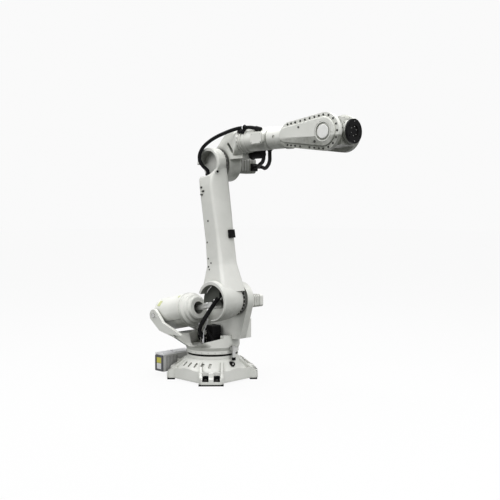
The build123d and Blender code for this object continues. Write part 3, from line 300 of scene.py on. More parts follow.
class Graph:
    """A small helper for laying out one material's nodes. Its lengths are in metres."""

    def __init__(self, name):
        self.mat = bpy.data.materials.new(name)
        self.mat.use_nodes = True
        self.tree = self.mat.node_tree
        self.shader = self.tree.nodes["Principled BSDF"]
        self.coords = self.tree.nodes.new("ShaderNodeTexCoord").outputs["Object"]

    def link(self, source, target):
        self.tree.links.new(source, target)

    def noise(self, scale, detail=4.0, rough=0.55, stretch=None):
        """Noise over the object, finer where scale is larger, or stretched along an axis."""
        node = self.tree.nodes.new("ShaderNodeTexNoise")
        node.inputs["Scale"].default_value = scale
        node.inputs["Detail"].default_value = detail
        node.inputs["Roughness"].default_value = rough
        source = self.coords
        if stretch:
            mapping = self.tree.nodes.new("ShaderNodeMapping")
            mapping.inputs["Scale"].default_value = stretch
            self.link(self.coords, mapping.inputs["Vector"])
            source = mapping.outputs["Vector"]
        self.link(source, node.inputs["Vector"])
        return node.outputs["Fac"]

    def ramp(self, source, low, high, first, last):
        """A colour that runs from first, where source is at low, to last, at high."""
        node = self.tree.nodes.new("ShaderNodeValToRGB")
        node.color_ramp.elements[0].position = low
        node.color_ramp.elements[0].color = (*first, 1)
        node.color_ramp.elements[1].position = high
        node.color_ramp.elements[1].color = (*last, 1)
        self.link(source, node.inputs["Fac"])
        return node.outputs["Color"]

    def span(self, source, low, high, first, last):
        """A number that runs from first, where source is at low, to last, at high."""
        node = self.tree.nodes.new("ShaderNodeMapRange")
        node.inputs["From Min"].default_value = low
        node.inputs["From Max"].default_value = high
        node.inputs["To Min"].default_value = first
        node.inputs["To Max"].default_value = last
        self.link(source, node.inputs["Value"])
        return node.outputs["Result"]

    def mix(self, factor, first, second):
        """Two colours, all first at factor 0. Each value is a number, a colour or a socket."""
        node = self.tree.nodes.new("ShaderNodeMix")
        node.data_type = "RGBA"
        for socket, value in ((node.inputs["Factor"], factor), (node.inputs["A"], first),
                              (node.inputs["B"], second)):
            if isinstance(value, (int, float)):
                socket.default_value = value
            elif isinstance(value, tuple):
                socket.default_value = (*value, 1)
            else:
                self.link(value, socket)
        return node.outputs["Result"]

    def times(self, first, second):
        node = self.tree.nodes.new("ShaderNodeMath")
        node.operation = "MULTIPLY"
        self.link(first, node.inputs[0])
        self.link(second, node.inputs[1])
        return node.outputs[0]

    def hollows(self, distance):
        """1 in the open and lower in corners and seams."""
        node = self.tree.nodes.new("ShaderNodeAmbientOcclusion")
        node.samples = 4
        node.inputs["Distance"].default_value = distance
        return node.outputs["AO"]

    def height(self):
        """Height above the floor, with the joints at rest."""
        split = self.tree.nodes.new("ShaderNodeSeparateXYZ")
        self.link(self.coords, split.inputs[0])
        return split.outputs["Z"]

    def facing_up(self):
        """1 on faces that look up, 0 on those that look down."""
        geometry = self.tree.nodes.new("ShaderNodeNewGeometry")
        split = self.tree.nodes.new("ShaderNodeSeparateXYZ")
        self.link(geometry.outputs["Normal"], split.inputs[0])
        return self.span(split.outputs["Z"], -1.0, 1.0, 0.0, 1.0)

    def relief(self, height, strength, distance, edge=0.0):
        """Bump, over rounded edges where edge is their radius in metres."""
        bump = self.tree.nodes.new("ShaderNodeBump")
        bump.inputs["Strength"].default_value = strength
        bump.inputs["Distance"].default_value = distance
        self.link(height, bump.inputs["Height"])
        if edge:
            bevel = self.tree.nodes.new("ShaderNodeBevel")
            bevel.samples = 4
            bevel.inputs["Radius"].default_value = edge
            self.link(bevel.outputs["Normal"], bump.inputs["Normal"])
        self.link(bump.outputs["Normal"], self.shader.inputs["Normal"])


def enamel(name, base, shade, grime_and_shade, rough, edge=0.0035, cast=0.35, underside_shade=0.0, hollow_shade=0.0,
           low_shade=None, gloss=0.42):
    """Sprayed enamel over a casting: mottled, with painted shade and a little dust in the corners,
    and rounded edges.

    One setting paints shade on the faces that look down. Another paints shade in the insides
    of large hollows, and is how far, in metres, it looks for their walls. A third is the height in
    metres below which painted shade darkens the casting, and how strongly.
    """
    g = Graph(name)
    broad = g.noise(2.3, 5.0, 0.6)
    fine = g.noise(46.0, 6.0, 0.6)
    colour = g.ramp(broad, 0.36, 0.64, shade, base)
    colour = g.mix(g.span(fine, 0.42, 0.68, 0.0, 0.10), colour, shade)
    patch = g.span(g.noise(9.0, 5.0, 0.65), 0.35, 0.65, 0.55, 1.0)
    # painted shade on the faces that look down
    if underside_shade:
        low = g.span(g.facing_up(), 0.22, 0.50, underside_shade, 0.0)
        colour = g.mix(g.times(low, patch), colour, dim(grime_and_shade, 0.55))
    # painted shade in the insides of large hollows
    if hollow_shade:
        colour = g.mix(g.span(g.hollows(hollow_shade), 0.12, 0.46, 0.96, 0.0), colour,
                       dim(grime_and_shade, 0.12))
    # painted shade below a given height
    if low_shade:
        height, thick = low_shade
        below = g.span(g.height(), height - 0.006, height + 0.004, thick, 0.0)
        colour = g.mix(g.times(below, patch), colour, dim(grime_and_shade, 0.42))
    # painted shade, with a little dust, in corners and seams
    corner_shade_and_dust = g.span(g.hollows(0.035), 0.35, 0.95, 0.75, 0.0)
    colour = g.mix(g.times(corner_shade_and_dust, patch), colour, grime_and_shade)
    g.link(colour, g.shader.inputs["Base Color"])
    g.link(g.span(g.noise(18.0, 5.0), 0.3, 0.7, rough - 0.06, rough + 0.10),
           g.shader.inputs["Roughness"])
    g.shader.inputs["Specular IOR Level"].default_value = gloss
    g.relief(g.noise(420.0, 3.0, 0.5), cast, 0.0004, edge)
    return g.mat


def rubber(name, base, rough=0.55):
    """Dull black rubber, a little dusty in patches."""
    g = Graph(name)
    colour = g.ramp(g.noise(14.0, 5.0), 0.35, 0.7, base, tuple(2.0 * c + 0.002 for c in base))
    g.link(colour, g.shader.inputs["Base Color"])
    g.link(g.span(g.noise(55.0, 4.0), 0.3, 0.7, rough - 0.08, rough + 0.12),
           g.shader.inputs["Roughness"])
    g.shader.inputs["Specular IOR Level"].default_value = 0.09
    g.relief(g.noise(650.0, 2.0), 0.25, 0.0003, 0.0008)
    return g.mat


def ground_steel(name, base, rough, stretch=(1, 1, 30)):
    """Bare metal with fine grinding lines, or an even grain where stretch is (1, 1, 1)."""
    g = Graph(name)
    g.shader.inputs["Metallic"].default_value = 1.0
    lines = g.noise(60.0, 3.0, 0.5, stretch)
    g.link(g.ramp(lines, 0.3, 0.7, dim(base, 0.72), base),
           g.shader.inputs["Base Color"])
    g.link(g.span(g.noise(30.0, 4.0), 0.3, 0.7, rough - 0.07, rough + 0.12),
           g.shader.inputs["Roughness"])
    g.relief(lines, 0.12, 0.0002, 0.001)
    return g.mat


CREAM = (0.80, 0.80, 0.765)
CREAM_SHADE = (0.71, 0.715, 0.675)
# the dark colour of dust and of painted shade
CREAM_GRIME_AND_SHADE = (0.27, 0.28, 0.235)


def cream(name, underside_shade=0.8, hollow_shade=0.0, light_and_shade_tone=1.0, low_shade=None):
    """The castings' own paint, with lighter and darker copies as painted light and shade."""
    return enamel(name, dim(CREAM, light_and_shade_tone), dim(CREAM_SHADE, light_and_shade_tone), CREAM_GRIME_AND_SHADE, 0.42,
                  underside_shade=underside_shade, hollow_shade=hollow_shade, low_shade=low_shade)


def make_materials():
    """The record's slots first, then finishes for single nodes and for the small fittings."""
    return {
        # the cream, with painted shade on faces that look down and, with a little dust, in corners
        "casting_paint": cream("casting_paint"),
        "white_cap": enamel("white_cap", (0.88, 0.88, 0.865), (0.83, 0.83, 0.81),
                            (0.45, 0.45, 0.43), 0.30, 0.0015, 0.08),
        "grey_paint": enamel("grey_paint", (0.36, 0.36, 0.37), (0.29, 0.29, 0.30),
                             (0.05, 0.05, 0.05), 0.45, 0.002, 0.25),
        "black_paint": enamel("black_paint", (0.006, 0.006, 0.0065), (0.004, 0.004, 0.0045),
                              (0.016, 0.015, 0.014), 0.55, 0.002, 0.25, gloss=0.10),
        "black_rubber": rubber("black_rubber", (0.004, 0.004, 0.0045)),
        "bare_steel": ground_steel("bare_steel", (0.60, 0.60, 0.59), 0.30),
        # a copy of the cream darkened as painted shade, with painted shade in the drum's hollows
        # and on faces that look down
        "shaded_arm_casting": cream("shaded_arm_casting", 0.85, hollow_shade=0.30, light_and_shade_tone=0.90),
        # painted shade inside the frame's bowl and on faces that look down
        "shaded_frame_casting": cream("shaded_frame_casting", hollow_shade=0.13),
        # a slightly lighter copy of the cream as painted light, with painted shade in the nooks
        # between parts
        "shaded_nook_casting": cream("shaded_nook_casting", 0.85, hollow_shade=0.09, light_and_shade_tone=1.04),
        # a much darker copy of the cream, with painted shade on faces that look down and in
        # hollows
        "dark_shaded_casting": cream("dark_shaded_casting", 0.95, hollow_shade=0.16, light_and_shade_tone=0.30),
        # a copy of the cream darkened as painted shade, with painted shade on the lower half, on
        # faces that look down and in hollows
        "shaded_tilt_casting": cream("shaded_tilt_casting", 1.0, hollow_shade=0.10, light_and_shade_tone=0.85,
                              low_shade=(WRIST.z * MM - 0.005, 1.0)),
        # painted shade on the lower band of the fork and its covers, and on faces that look down
        "shaded_wrist_casting": cream("shaded_wrist_casting", 1.0, low_shade=(WRIST.z * MM - 0.032, 0.85)),
        # painted shade in the foot pockets and on faces that look down
        "base_casting": cream("base_casting", hollow_shade=0.07),
        # near-black: painted shade for the dark sheet over the drum's opening
        "shaded_sheet": enamel("shaded_sheet", (0.105, 0.110, 0.098), (0.070, 0.074, 0.066),
                               (0.02, 0.02, 0.018), 0.6, 0.002, 0.2, gloss=0.1),
        "box_paint": enamel("box_paint", (0.66, 0.66, 0.655), (0.58, 0.58, 0.575),
                            (0.20, 0.20, 0.19), 0.42, 0.002, 0.2),
        "seal_ring": enamel("seal_ring", (0.10, 0.10, 0.094), (0.06, 0.06, 0.056),
                            (0.02, 0.02, 0.018), 0.45, 0.002, 0.2),
        "dark_plate": enamel("dark_plate", (0.12, 0.12, 0.135), (0.09, 0.09, 0.10),
                             (0.02, 0.02, 0.02), 0.42, 0.002, 0.25),
        "silver_lid": enamel("silver_lid", (0.90, 0.90, 0.92), (0.84, 0.84, 0.86),
                             (0.50, 0.50, 0.50), 0.34, 0.002, 0.12),
        "zinc": ground_steel("zinc", (0.66, 0.66, 0.64), 0.34, (1, 1, 1)),
        "dark_screw": enamel("dark_screw", (0.030, 0.030, 0.028), (0.018, 0.018, 0.017),
                             (0.06, 0.055, 0.05), 0.45, 0.0008, 0.1),
        # near-black: painted shade inside holes and pockets
        "hole_shade": rubber("hole_shade", (0.006, 0.006, 0.006), 0.7),
        "yellow_plate": enamel("yellow_plate", (0.72, 0.66, 0.10), (0.64, 0.58, 0.09),
                               (0.35, 0.29, 0.08), 0.38, 0.0005, 0.05),
        "pale_plate": enamel("pale_plate", (0.66, 0.70, 0.36), (0.58, 0.61, 0.30),
                             (0.35, 0.35, 0.20), 0.38, 0.0005, 0.05),
        "white_plate": enamel("white_plate", (0.84, 0.84, 0.86), (0.78, 0.78, 0.80),
                              (0.45, 0.45, 0.45), 0.36, 0.0005, 0.05),
    }


# Nodes whose finish differs from that of their slot
FINISH = {
    "frame_casting": "shaded_frame_casting",
    "arm_bearing_rings": "seal_ring",
    "arm_house_casting": "shaded_nook_casting",
    "axis_four_housing": "shaded_nook_casting",
    "balancer_tube": "shaded_nook_casting",
    "balancer_front_cap": "shaded_nook_casting",
    "lower_arm_casting": "shaded_arm_casting",
    "axis_three_motor": "dark_shaded_casting",
    "axis_three_gearbox": "dark_shaded_casting",
    "axis_four_motor": "black_paint",
    "tilt_housing": "shaded_tilt_casting",
    "tilt_front_ring": "shaded_tilt_casting",
    "wrist_fork": "shaded_wrist_casting",
    "wrist_covers": "shaded_wrist_casting",
    "base_casting": "base_casting",
    "connector_box": "box_paint",
    "connector_end_plate": "dark_plate",
    "motor_connector": "black_paint",
    "connector_box_lid": "silver_lid",
}


# Mesh templates and joined pieces, in millimetres

def lathe(profile, segments=24, hexed=()):
    """Turned about +Z: profile is (radius, height), and loops listed in hexed are hexagons."""
    verts, faces, rings = [], [], []
    for index, (radius, height) in enumerate(profile):
        if radius <= 1e-6:
            rings.append([len(verts)])
            verts.append(Vector((0, 0, height)))
            continue
        ring = []
        for step in range(segments):
            angle = 2 * math.pi * step / segments
            reach = radius
            if index in hexed:
                part = (angle + math.pi / 6) % (math.pi / 3) - math.pi / 6
                reach = radius / math.cos(part)
            ring.append(len(verts))
            verts.append(Vector((reach * math.cos(angle), reach * math.sin(angle), height)))
        rings.append(ring)
    for low, high in zip(rings, rings[1:]):
        for step in range(segments):
            after = (step + 1) % segments
            if len(low) == 1 and len(high) > 1:
                faces.append((low[0], high[step], high[after]))
            elif len(high) == 1 and len(low) > 1:
                faces.append((low[step], low[after], high[0]))
            elif len(low) > 1:
                faces.append((low[step], low[after], high[after], high[step]))
    return verts, faces


def socket_screw(r):
    """Socket head cap screw with a thin washer, its seat at height 0. r is its head's radius."""
    return lathe([
        (0, 0), (1.5 * r, 0), (1.5 * r, 0.16 * r), (1.02 * r, 0.2 * r), (r, 0.3 * r),
        (r, 1.05 * r), (0.88 * r, 1.2 * r), (0.62 * r, 1.2 * r), (0.5 * r, 1.12 * r),
        (0.5 * r, 0.55 * r), (0, 0.5 * r),
    ], hexed={8, 9})


def low_screw(r):
    """Low countersunk-looking screw for covers."""
    return lathe([
        (0, 0), (1.15 * r, 0), (1.15 * r, 0.08 * r), (r, 0.45 * r), (0.8 * r, 0.58 * r),
        (0.52 * r, 0.58 * r), (0.42 * r, 0.5 * r), (0.42 * r, 0.22 * r), (0, 0.2 * r),
    ], hexed={6, 7})


def hex_bolt(r):
    """Bolt with a hexagonal head on a washer."""
    return lathe([
        (0, 0), (1.55 * r, 0), (1.55 * r, 0.18 * r), (1.0 * r, 0.2 * r), (1.0 * r, 0.9 * r),
        (0.93 * r, 1.0 * r), (0, 1.02 * r),
    ], hexed={3, 4})


def blind_hole(r, lip=1.5):
    """A ringed hole with a sunk centre, shallow enough to sit on a face."""
    return lathe([
        (0, 0), (1.25 * r, 0), (1.22 * r, lip), (r, lip), (0.96 * r, 0.25 * lip), (0, 0.2 * lip),
    ])


def plug(r, h):
    """A plain round stub with a broken edge."""
    return lathe([(0, 0), (r, 0), (r, 0.75 * h), (0.9 * r, h), (0, h)])


class Piece:
    """One joined mesh of many small parts."""

    def __init__(self, name, body, material, slot):
        self.name, self.body, self.material, self.slot = name, body, material, slot
        self.verts, self.faces = [], []

    def stamp(self, template, *places):
        """Adds the template at each place, or as it stands where none is given."""
        for place in places or (Matrix.Identity(4),):
            start = len(self.verts)
            self.verts += [place @ v for v in template[0]]
            self.faces += [tuple(start + i for i in face) for face in template[1]]

    def make(self, smooth=35.0, ride=True):
        """The finished object, shaded smooth across edges flatter than smooth degrees."""
        mesh = bpy.data.meshes.new(self.name)
        mesh.from_pydata([v * MM for v in self.verts], [], self.faces)
        mesh.validate()
        mesh.update()
        mesh.materials.append(self.material)
        obj = bpy.data.objects.new(self.name, mesh)
        bpy.context.scene.collection.objects.link(obj)
        mesh.shade_smooth()
        mesh.set_sharp_from_angle(angle=math.radians(smooth))
        if ride:
            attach(obj, self.body)
        return obj


def ring_places(base, radius, count, axis, level, sign, first=0.0, span=360.0):
    """Places of screws on a circle round axis ("X", "Y" or "Z") of the frame base.

    level is the circle's place along the axis, and sign is 1 or -1, the way the heads point.
    """
    places = []
    gaps = count if span >= 360.0 else count - 1
    for number in range(count):
        angle = math.radians(first + span * number / gaps)
        c, s = radius * math.cos(angle), radius * math.sin(angle)
        if axis == "X":
            point, way = (level, c, s), (sign, 0, 0)
        elif axis == "Y":
            point, way = (c, level, s), (0, sign, 0)
        else:
            point, way = (c, s, level), (0, 0, sign)
        places.append(base @ Matrix.Translation(point) @ facing(way))
    return places


# Hoses

def rounded_path(points, step):
    """The CAD's route: straight runs joined by the largest tangent arcs, sampled closely."""
    spots = [Vector(p) for p in points]
    path = [spots[0]]
    for before, here, after in zip(spots, spots[1:], spots[2:]):
        a, b = before - here, after - here
        turn = math.pi - a.angle(b)
        if turn < 1e-4:
            continue
        cut = 0.45 * min(a.length, b.length)
        radius = cut / math.tan(turn / 2)
        middle = (a.normalized() + b.normalized()).normalized()
        centre = here + middle * (radius / math.cos(turn / 2))
        start, end = here + a.normalized() * cut, here + b.normalized() * cut
        spokes = start - centre, end - centre
        normal = spokes[0].cross(spokes[1]).normalized()
        count = max(2, int(radius * turn / step))
        for number in range(count + 1):
            path.append(centre + Matrix.Rotation(turn * number / count, 3, normal) @ spokes[0])
    path.append(spots[-1])
    even, carry = [path[0]], 0.0
    for first, second in zip(path, path[1:]):
        length = (second - first).length
        if length < 1e-6:
            continue
        reach = step - carry
        while reach <= length:
            even.append(first.lerp(second, reach / length))
            reach += step
        carry = length - (reach - step)
    even.append(path[-1])
    return even


def ribbed_tube(points, radius, pitch=9.0, depth=1.6, segments=18):
    """A corrugated hose along the points, four rings to each rib and plain at both ends."""
    path = rounded_path(points, pitch / 4)
    verts, faces = [], []
    tangent = (path[1] - path[0]).normalized()
    side = tangent.orthogonal().normalized()
    for index, here in enumerate(path):
        ahead = path[min(index + 1, len(path) - 1)]
        behind = path[max(index - 1, 0)]
        way = (ahead - behind).normalized()
        side = tangent.rotation_difference(way) @ side
        side = (side - way * side.dot(way)).normalized()
        other = way.cross(side)
        tangent = way
        wave = 0.5 - 0.5 * math.cos(2 * math.pi * index / 4)
        reach = radius - depth * (wave if 3 < index < len(path) - 4 else 0.0)
        for number in range(segments):
            angle = 2 * math.pi * number / segments
            verts.append(here + reach * (math.cos(angle) * side + math.sin(angle) * other))
    for ring in range(len(path) - 1):
        for number in range(segments):
            after = (number + 1) % segments
            a, b = ring * segments, (ring + 1) * segments
            faces.append((a + number, a + after, b + after, b + number))
    faces.append(tuple(reversed(range(segments))))
    last = (len(path) - 1) * segments
    faces.append(tuple(last + i for i in range(segments)))
    return verts, faces


def plain_tube(points, radius):
    return ribbed_tube(points, radius, 24.0, 0.0, 12)


def arm_spot(x, y, z):
    return on_arm() @ Vector((x, y, z))


def elbow_spot(x, y, z):
    return ELBOW + Vector((x, y, z))


def chord_height(radius, offset):
    """Half the chord of a circle that runs offset away from its centre."""
    return math.sqrt(radius**2 - offset**2)


FRAME_GLAND = (0.294 * CAVITY_R, -0.77 * CAVITY_R)
POCKET_GLAND_LOW = (chord_height(POCKET_R, GLAND_X + GLAND_R) - POCKET_DROP - SEAT
                    - GLAND_HEIGHT)
HEAD_GLAND_TOP = (ARM_LENGTH - chord_height(HEAD_POCKET_R, GLAND_R - HEAD_GLAND_X) + SEAT
                  + HEAD_GLAND_HEIGHT)
CLAMP = Vector((425.0, -84.0, 308.0))  # from the elbow

SHOULDER_ROUTE = [
    (*FRAME_GLAND, 346.3), (*FRAME_GLAND, 388),
    (52, -188, 432), (52, -216, 474), (86, -238, 518), (140, -252, 576), (206, -258, 648),
    (262, -254, 716), (300, -238, 776), (326, -216, 818),
    arm_spot(GLAND_X, GLAND_Y, POCKET_GLAND_LOW - 42),
    arm_spot(GLAND_X, GLAND_Y, POCKET_GLAND_LOW - SEAT),
]
ELBOW_ROUTE = [
    arm_spot(HEAD_GLAND_X, HEAD_GLAND_Y, HEAD_GLAND_TOP + SEAT),
    arm_spot(HEAD_GLAND_X, HEAD_GLAND_Y, HEAD_GLAND_TOP + 30),
] + [elbow_spot(*p) for p in [
    (-70, -136, -20), (-92, -160, 34), (-84, -166, 92), (-48, -160, 150), (4, -148, 192),
    (60, -134, 225), (125, -120, 252), (199, -107, 275), (276, -97, 294), (355, -89, 306),
    tuple(CLAMP), (500, -82, 304), (540, -82, 298), (570, -82, 290),
]]
LOOP_FRONT_ROUTE = [elbow_spot(*p) for p in [
    (522, 70, 99.7), (522, 70, 62), (498, 94, 30), (436, 142, 6), (352, 204, -2),
    (266, 276, -8), (202, 342, -12), (156, 376, -12), (103.6, 376, -12),
]]
LOOP_REAR_ROUTE = [elbow_spot(*p) for p in [
    (596, 70, 99.7), (596, 70, 62), (574, 96, 22), (520, 142, -8), (450, 198, -26),
    (375, 258, -36), (292, 326, -36), (222, 386, -24), (166, 412.5, -12), (103.6, 412.5, -12),
]]


def make_hoses(mats):
    """Ribbed copies of the four hoses. The first two run between two bodies and are attached to
    neither.
    """
    shoulder_end, clamp = SHOULDER_ROUTE[-2], ELBOW + CLAMP - Vector((12, 0, 0))
    for node, route, radius, body, other_body, end in (
        ("shoulder_hose", SHOULDER_ROUTE, SHOULDER_HOSE_R, "frame", "lower_arm", shoulder_end),
        ("elbow_hose", ELBOW_ROUTE, HOSE_R, "lower_arm", "arm_house", clamp),
        ("loop_hose_front", LOOP_FRONT_ROUTE, HOSE_R, "arm_house", None, None),
        ("loop_hose_rear", LOOP_REAR_ROUTE, HOSE_R, "arm_house", None, None),
    ):
        piece = Piece(node + "_ribbed", body, mats["black_rubber"], "black_rubber")
        piece.stamp(ribbed_tube(route, radius))
        obj = piece.make(60.0, ride=not other_body)
        if other_body:
            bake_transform(obj)
        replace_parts(obj, node)


# Screws and small fittings

class Skin:
    """The surface of one CAD node, to set small parts down on. Places are in millimetres."""

    def __init__(self, frame, node):
        mesh = frame["nodes"][node].data
        verts = [v.co / MM for v in mesh.vertices]
        faces = [tuple(p.vertices) for p in mesh.polygons]
        self.tree = BVHTree.FromPolygons(verts, faces)

    def seen(self, point):
        """Where the line from the camera through point meets the surface."""
        start = bpy.context.scene.camera.location / MM
        return self.land(start, Vector(point) - start)

    def land(self, start, way):
        """Where a line from start along way first meets the surface, turned to face outward."""
        place, normal, _, _ = self.tree.ray_cast(Vector(start), Vector(way).normalized())
        if place is None:
            raise RuntimeError(f"nothing below {tuple(start)}")
        if normal.dot(Vector(way)) > 0:
            normal = -normal
        return Matrix.Translation(place) @ facing(normal)


def slab(points, thick, chamfer=1.0):
    """A plate with the given outline in X and Y, from height 0 to thick, its top edge broken."""
    count = len(points)
    middle = sum((Vector((x, y, 0)) for x, y in points), Vector()) / count
    verts = [Vector((x, y, 0)) for x, y in points]
    verts += [Vector((x, y, thick - chamfer)) for x, y in points]
    for x, y in points:
        inward = (middle - Vector((x, y, 0))).normalized() * chamfer
        verts.append(Vector((x, y, thick)) + inward)
    faces = []
    for ring in (0, count):
        for i in range(count):
            after = (i + 1) % count
            faces.append((ring + i, ring + after, ring + count + after, ring + count + i))
    faces.append(tuple(range(2 * count, 3 * count)))
    faces.append(tuple(reversed(range(count))))
    return verts, faces


def round_corners(width, height, radius, steps=5):
    """The outline of a rectangle with rounded corners."""
    points = []
    for turn, (cx, cy) in enumerate(((1, 1), (-1, 1), (-1, -1), (1, -1))):
        for step in range(steps + 1):
            angle = math.radians(90 * turn + 90 * step / steps)
            points.append((cx * (width / 2 - radius) + radius * math.cos(angle),
                           cy * (height / 2 - radius) + radius * math.sin(angle)))
    return points


def arc(radius, first, last, x=0.0, step=6.0):
    """Points of an arc about (x, 0), from first to last degrees."""
    count = max(2, int(abs(last - first) / step))
    spots = []
    for number in range(count + 1):
        angle = math.radians(first + (last - first) * number / count)
        spots.append((x + radius * math.cos(angle), radius * math.sin(angle)))
    return spots


def cross_sum(points):
    """Positive where the outline runs counterclockwise."""
    return sum(a[0] * b[1] - b[0] * a[1] for a, b in zip(points, points[1:] + points[:1]))


def side_slab(outline, thick, chamfer, side):
    """A slab whose outline is in X and Z, to be placed with facing((0, side, 0))."""
    turn = facing((0, side, 0)).inverted()
    flat = [turn @ Vector((x, 0, z)) for x, z in outline]
    points = [(v.x, v.y) for v in flat]
    if cross_sum(points) < 0:
        points.reverse()
    return slab(points, thick, chamfer)


def turntable_screws(mats):
    """Small screws all round the turntable's edge, their heads pointing outward."""
    middle_z = SEAM_Z + 23.0
    screws = Piece("turntable_screws", "frame", mats["casting_paint"], "casting_paint")
    for place in ring_places(Matrix.Identity(4), TURNTABLE_R, 24, "Z", middle_z, 1, 7.5):
        out = place.to_translation()
        screws.stamp(low_screw(5.0), Matrix.Translation(out) @ facing((out.x, out.y, 0)))
    screws.make()


def box_fittings(mats):
    """Lid screws of the connector box, and the two blank plates on its near end."""
    inset_x, inset_y, middle_y = 45.0, 9.0, -150.0
    lid_top = BOX_BOTTOM + BOX_HEIGHT + SEAT + LID_THICK
    lid = Piece("box_lid_screws", "base", mats["zinc"], "bare_steel")
    for x in (BOX_MIDDLE_X - inset_x, BOX_MIDDLE_X + inset_x):
        for y in (BOX_NEAR_Y + inset_y, middle_y, BOX_NEAR_Y + BOX_LENGTH - inset_y):
            lid.stamp(low_screw(4.5), Matrix.Translation((x, y, lid_top)))
    lid.make()

    recess = 4.0
    near_y = BOX_NEAR_Y - SEAT - END_PLATE_THICK + recess
    end = Matrix.Translation((BOX_MIDDLE_X, near_y, BOX_BOTTOM + BOX_HEIGHT / 2))
    end = end @ facing((0, -1, 0))
    for name, paint, slot, width, height, rise in (
        ("box_plate_upper", "yellow_plate", "casting_paint", 66, 54, 29),
        ("box_plate_lower", "white_plate", "white_cap", 64, 56, -29),
    ):
        plate = Piece(name, "base", mats[paint], slot)
        plate.stamp(slab(round_corners(width, height, 3), 1.6, 0.4),
                    end @ Matrix.Translation((0, rise, 0)))
        plate.make()


def foot_fittings(mats):
    """A dark sheet of painted shade and a bolt in each of the eight bolt pockets of the feet."""
    radius, floor = BOLT_SEAT_R - 0.4, BOLT_SEAT_Z + 0.3
    mouth = 34.0  # how far the dark sheet of painted shade runs outward from the bolt
    below, highest = 2.0, 84.0  # its rim under the slope of the foot, and at most
    rise, run = SKIRT_Z - FOOT_EDGE, FOOT_REACH - FOOT_KNEE
    wall = [(mouth, radius)] + arc(radius, 90.0, 270.0, step=12.0) + [(mouth, -radius)]
    # the dark sheets are painted shade in the pockets
    pockets = Piece("foot_pocket_shade", "base", mats["hole_shade"], "black_rubber")
    bolts = Piece("foot_bolts", "base", mats["dark_screw"], "bare_steel")
    for corner in range(4):
        foot = Matrix.Rotation(math.radians(45 + 90 * corner), 4, "Z")
        for y in (-BOLT_SPREAD / 2, BOLT_SPREAD / 2):
            low = [Vector((BOLT_RING + wx, y + wy, floor)) for wx, wy in wall]
            high = []
            for v in low:
                slope = FOOT_EDGE + (FOOT_REACH - v.x) * rise / run
                high.append(Vector((v.x, v.y, min(slope - below, highest))))
            count = len(low)
            faces = [(i, i + 1, count + i + 1, count + i) for i in range(count - 1)]
            faces.append(tuple(range(count)))
            pockets.stamp((low + high, faces), foot)
            bolts.stamp(hex_bolt(15.0), foot @ Matrix.Translation((BOLT_RING, y, floor)))
    pockets.make()
    bolts.make()


def stop_fittings(mats):
    """The rubber sleeve on the first axis's stop pin, and the stud in the stop boss."""
    bore, waist, widest, length = STOP_PIN_R - 0.2, 18.0, 18.4, 28.0
    sleeve = Piece("stop_pin_sleeve", "frame", mats["black_rubber"], "black_rubber")
    sleeve.stamp(lathe([(bore, 0), (waist, 0), (widest, 2), (widest, length - 2),
                        (waist, length), (bore, length)], 32),
                 Matrix.Translation((STOP_RING, 0, STOP_PIN_BOTTOM + 0.5)))
    sleeve.make()

    boss_angle, boss_face, boss_z = -6.0, 311.0, 169.0
    stud = Piece("stop_boss_stud", "base", mats["zinc"], "bare_steel")
    stud.stamp(hex_bolt(7.0), Matrix.Rotation(math.radians(boss_angle), 4, "Z")
               @ Matrix.Translation((boss_face, 0, boss_z)) @ facing((1, 0, 0)))
    stud.make()


def bearing_screws(mats):
    """The screws of the lower arm's two bearing rings, at the shoulder and at the elbow."""
    face, shoulder_circle, elbow_circle = ARM_FAR + SEAT, 139.0, 145.0
    ring = Piece("shoulder_ring_screws", "lower_arm", mats["zinc"], "bare_steel")
    shoulder, elbow = on_arm(), on_arm() @ Matrix.Translation((0, 0, ARM_LENGTH))
    ring.stamp(socket_screw(5.2), *ring_places(shoulder, shoulder_circle, 24, "Y", face, -1, 7.5))
    ring.stamp(socket_screw(3.2), *ring_places(elbow, elbow_circle, 24, "Y", face, -1, 7.5))
    ring.make()


def drum_dark_sheet(mats):
    """A thin dark sheet over the drum's rear opening, on the near side of the balancer's rod. Its
    dark colour is painted shade.
    """
    upper_r, rear_r, near_y, drop = 157.0, 184.0, -236.0, -10.0
    lower_edge = [(-70, 10), (-46, 28), (32, 32)]
    outline = arc(upper_r, 72.0, 143.0) + arc(rear_r, 150.0, 177.0) + lower_edge
    dark_sheet = Piece("drum_shade_sheet", "lower_arm", mats["shaded_sheet"], "black_paint")
    dark_sheet.stamp(side_slab(outline, 3.0, 0.8, -1),
                on_arm() @ Matrix.Translation((0, near_y, drop)) @ facing((0, -1, 0)))
    dark_sheet.make(30.0)


def drum_fairing(mats):
    """The full front of the drum, drawn in toward the frame. Its profile is (radius, y)."""
    inner, first, last, step = 125, -84, 78, 6
    profile = [(inner, -236), (186.6, -236), (184.5, -207), (176, -140), (162, -84),
               (150, -56), (140, -42), (inner, -38)]
    turns = [math.radians(degrees) for degrees in range(first, last + 1, step)]
    verts, faces = [], []
    for turn in turns:
        verts += [Vector((r * math.cos(turn), y, r * math.sin(turn))) for r, y in profile]
    size = len(profile)
    for row in range(len(turns) - 1):
        for col in range(size):
            here, beside = row * size + col, row * size + (col + 1) % size
            faces.append((here, here + size, beside + size, beside))
    faces += [tuple(range(size)), tuple(reversed(range(len(verts) - size, len(verts))))]
    fairing = Piece("drum_fairing", "lower_arm", mats["shaded_arm_casting"], "casting_paint")
    fairing.stamp((verts, faces), on_arm())
    fairing.make(25.0)


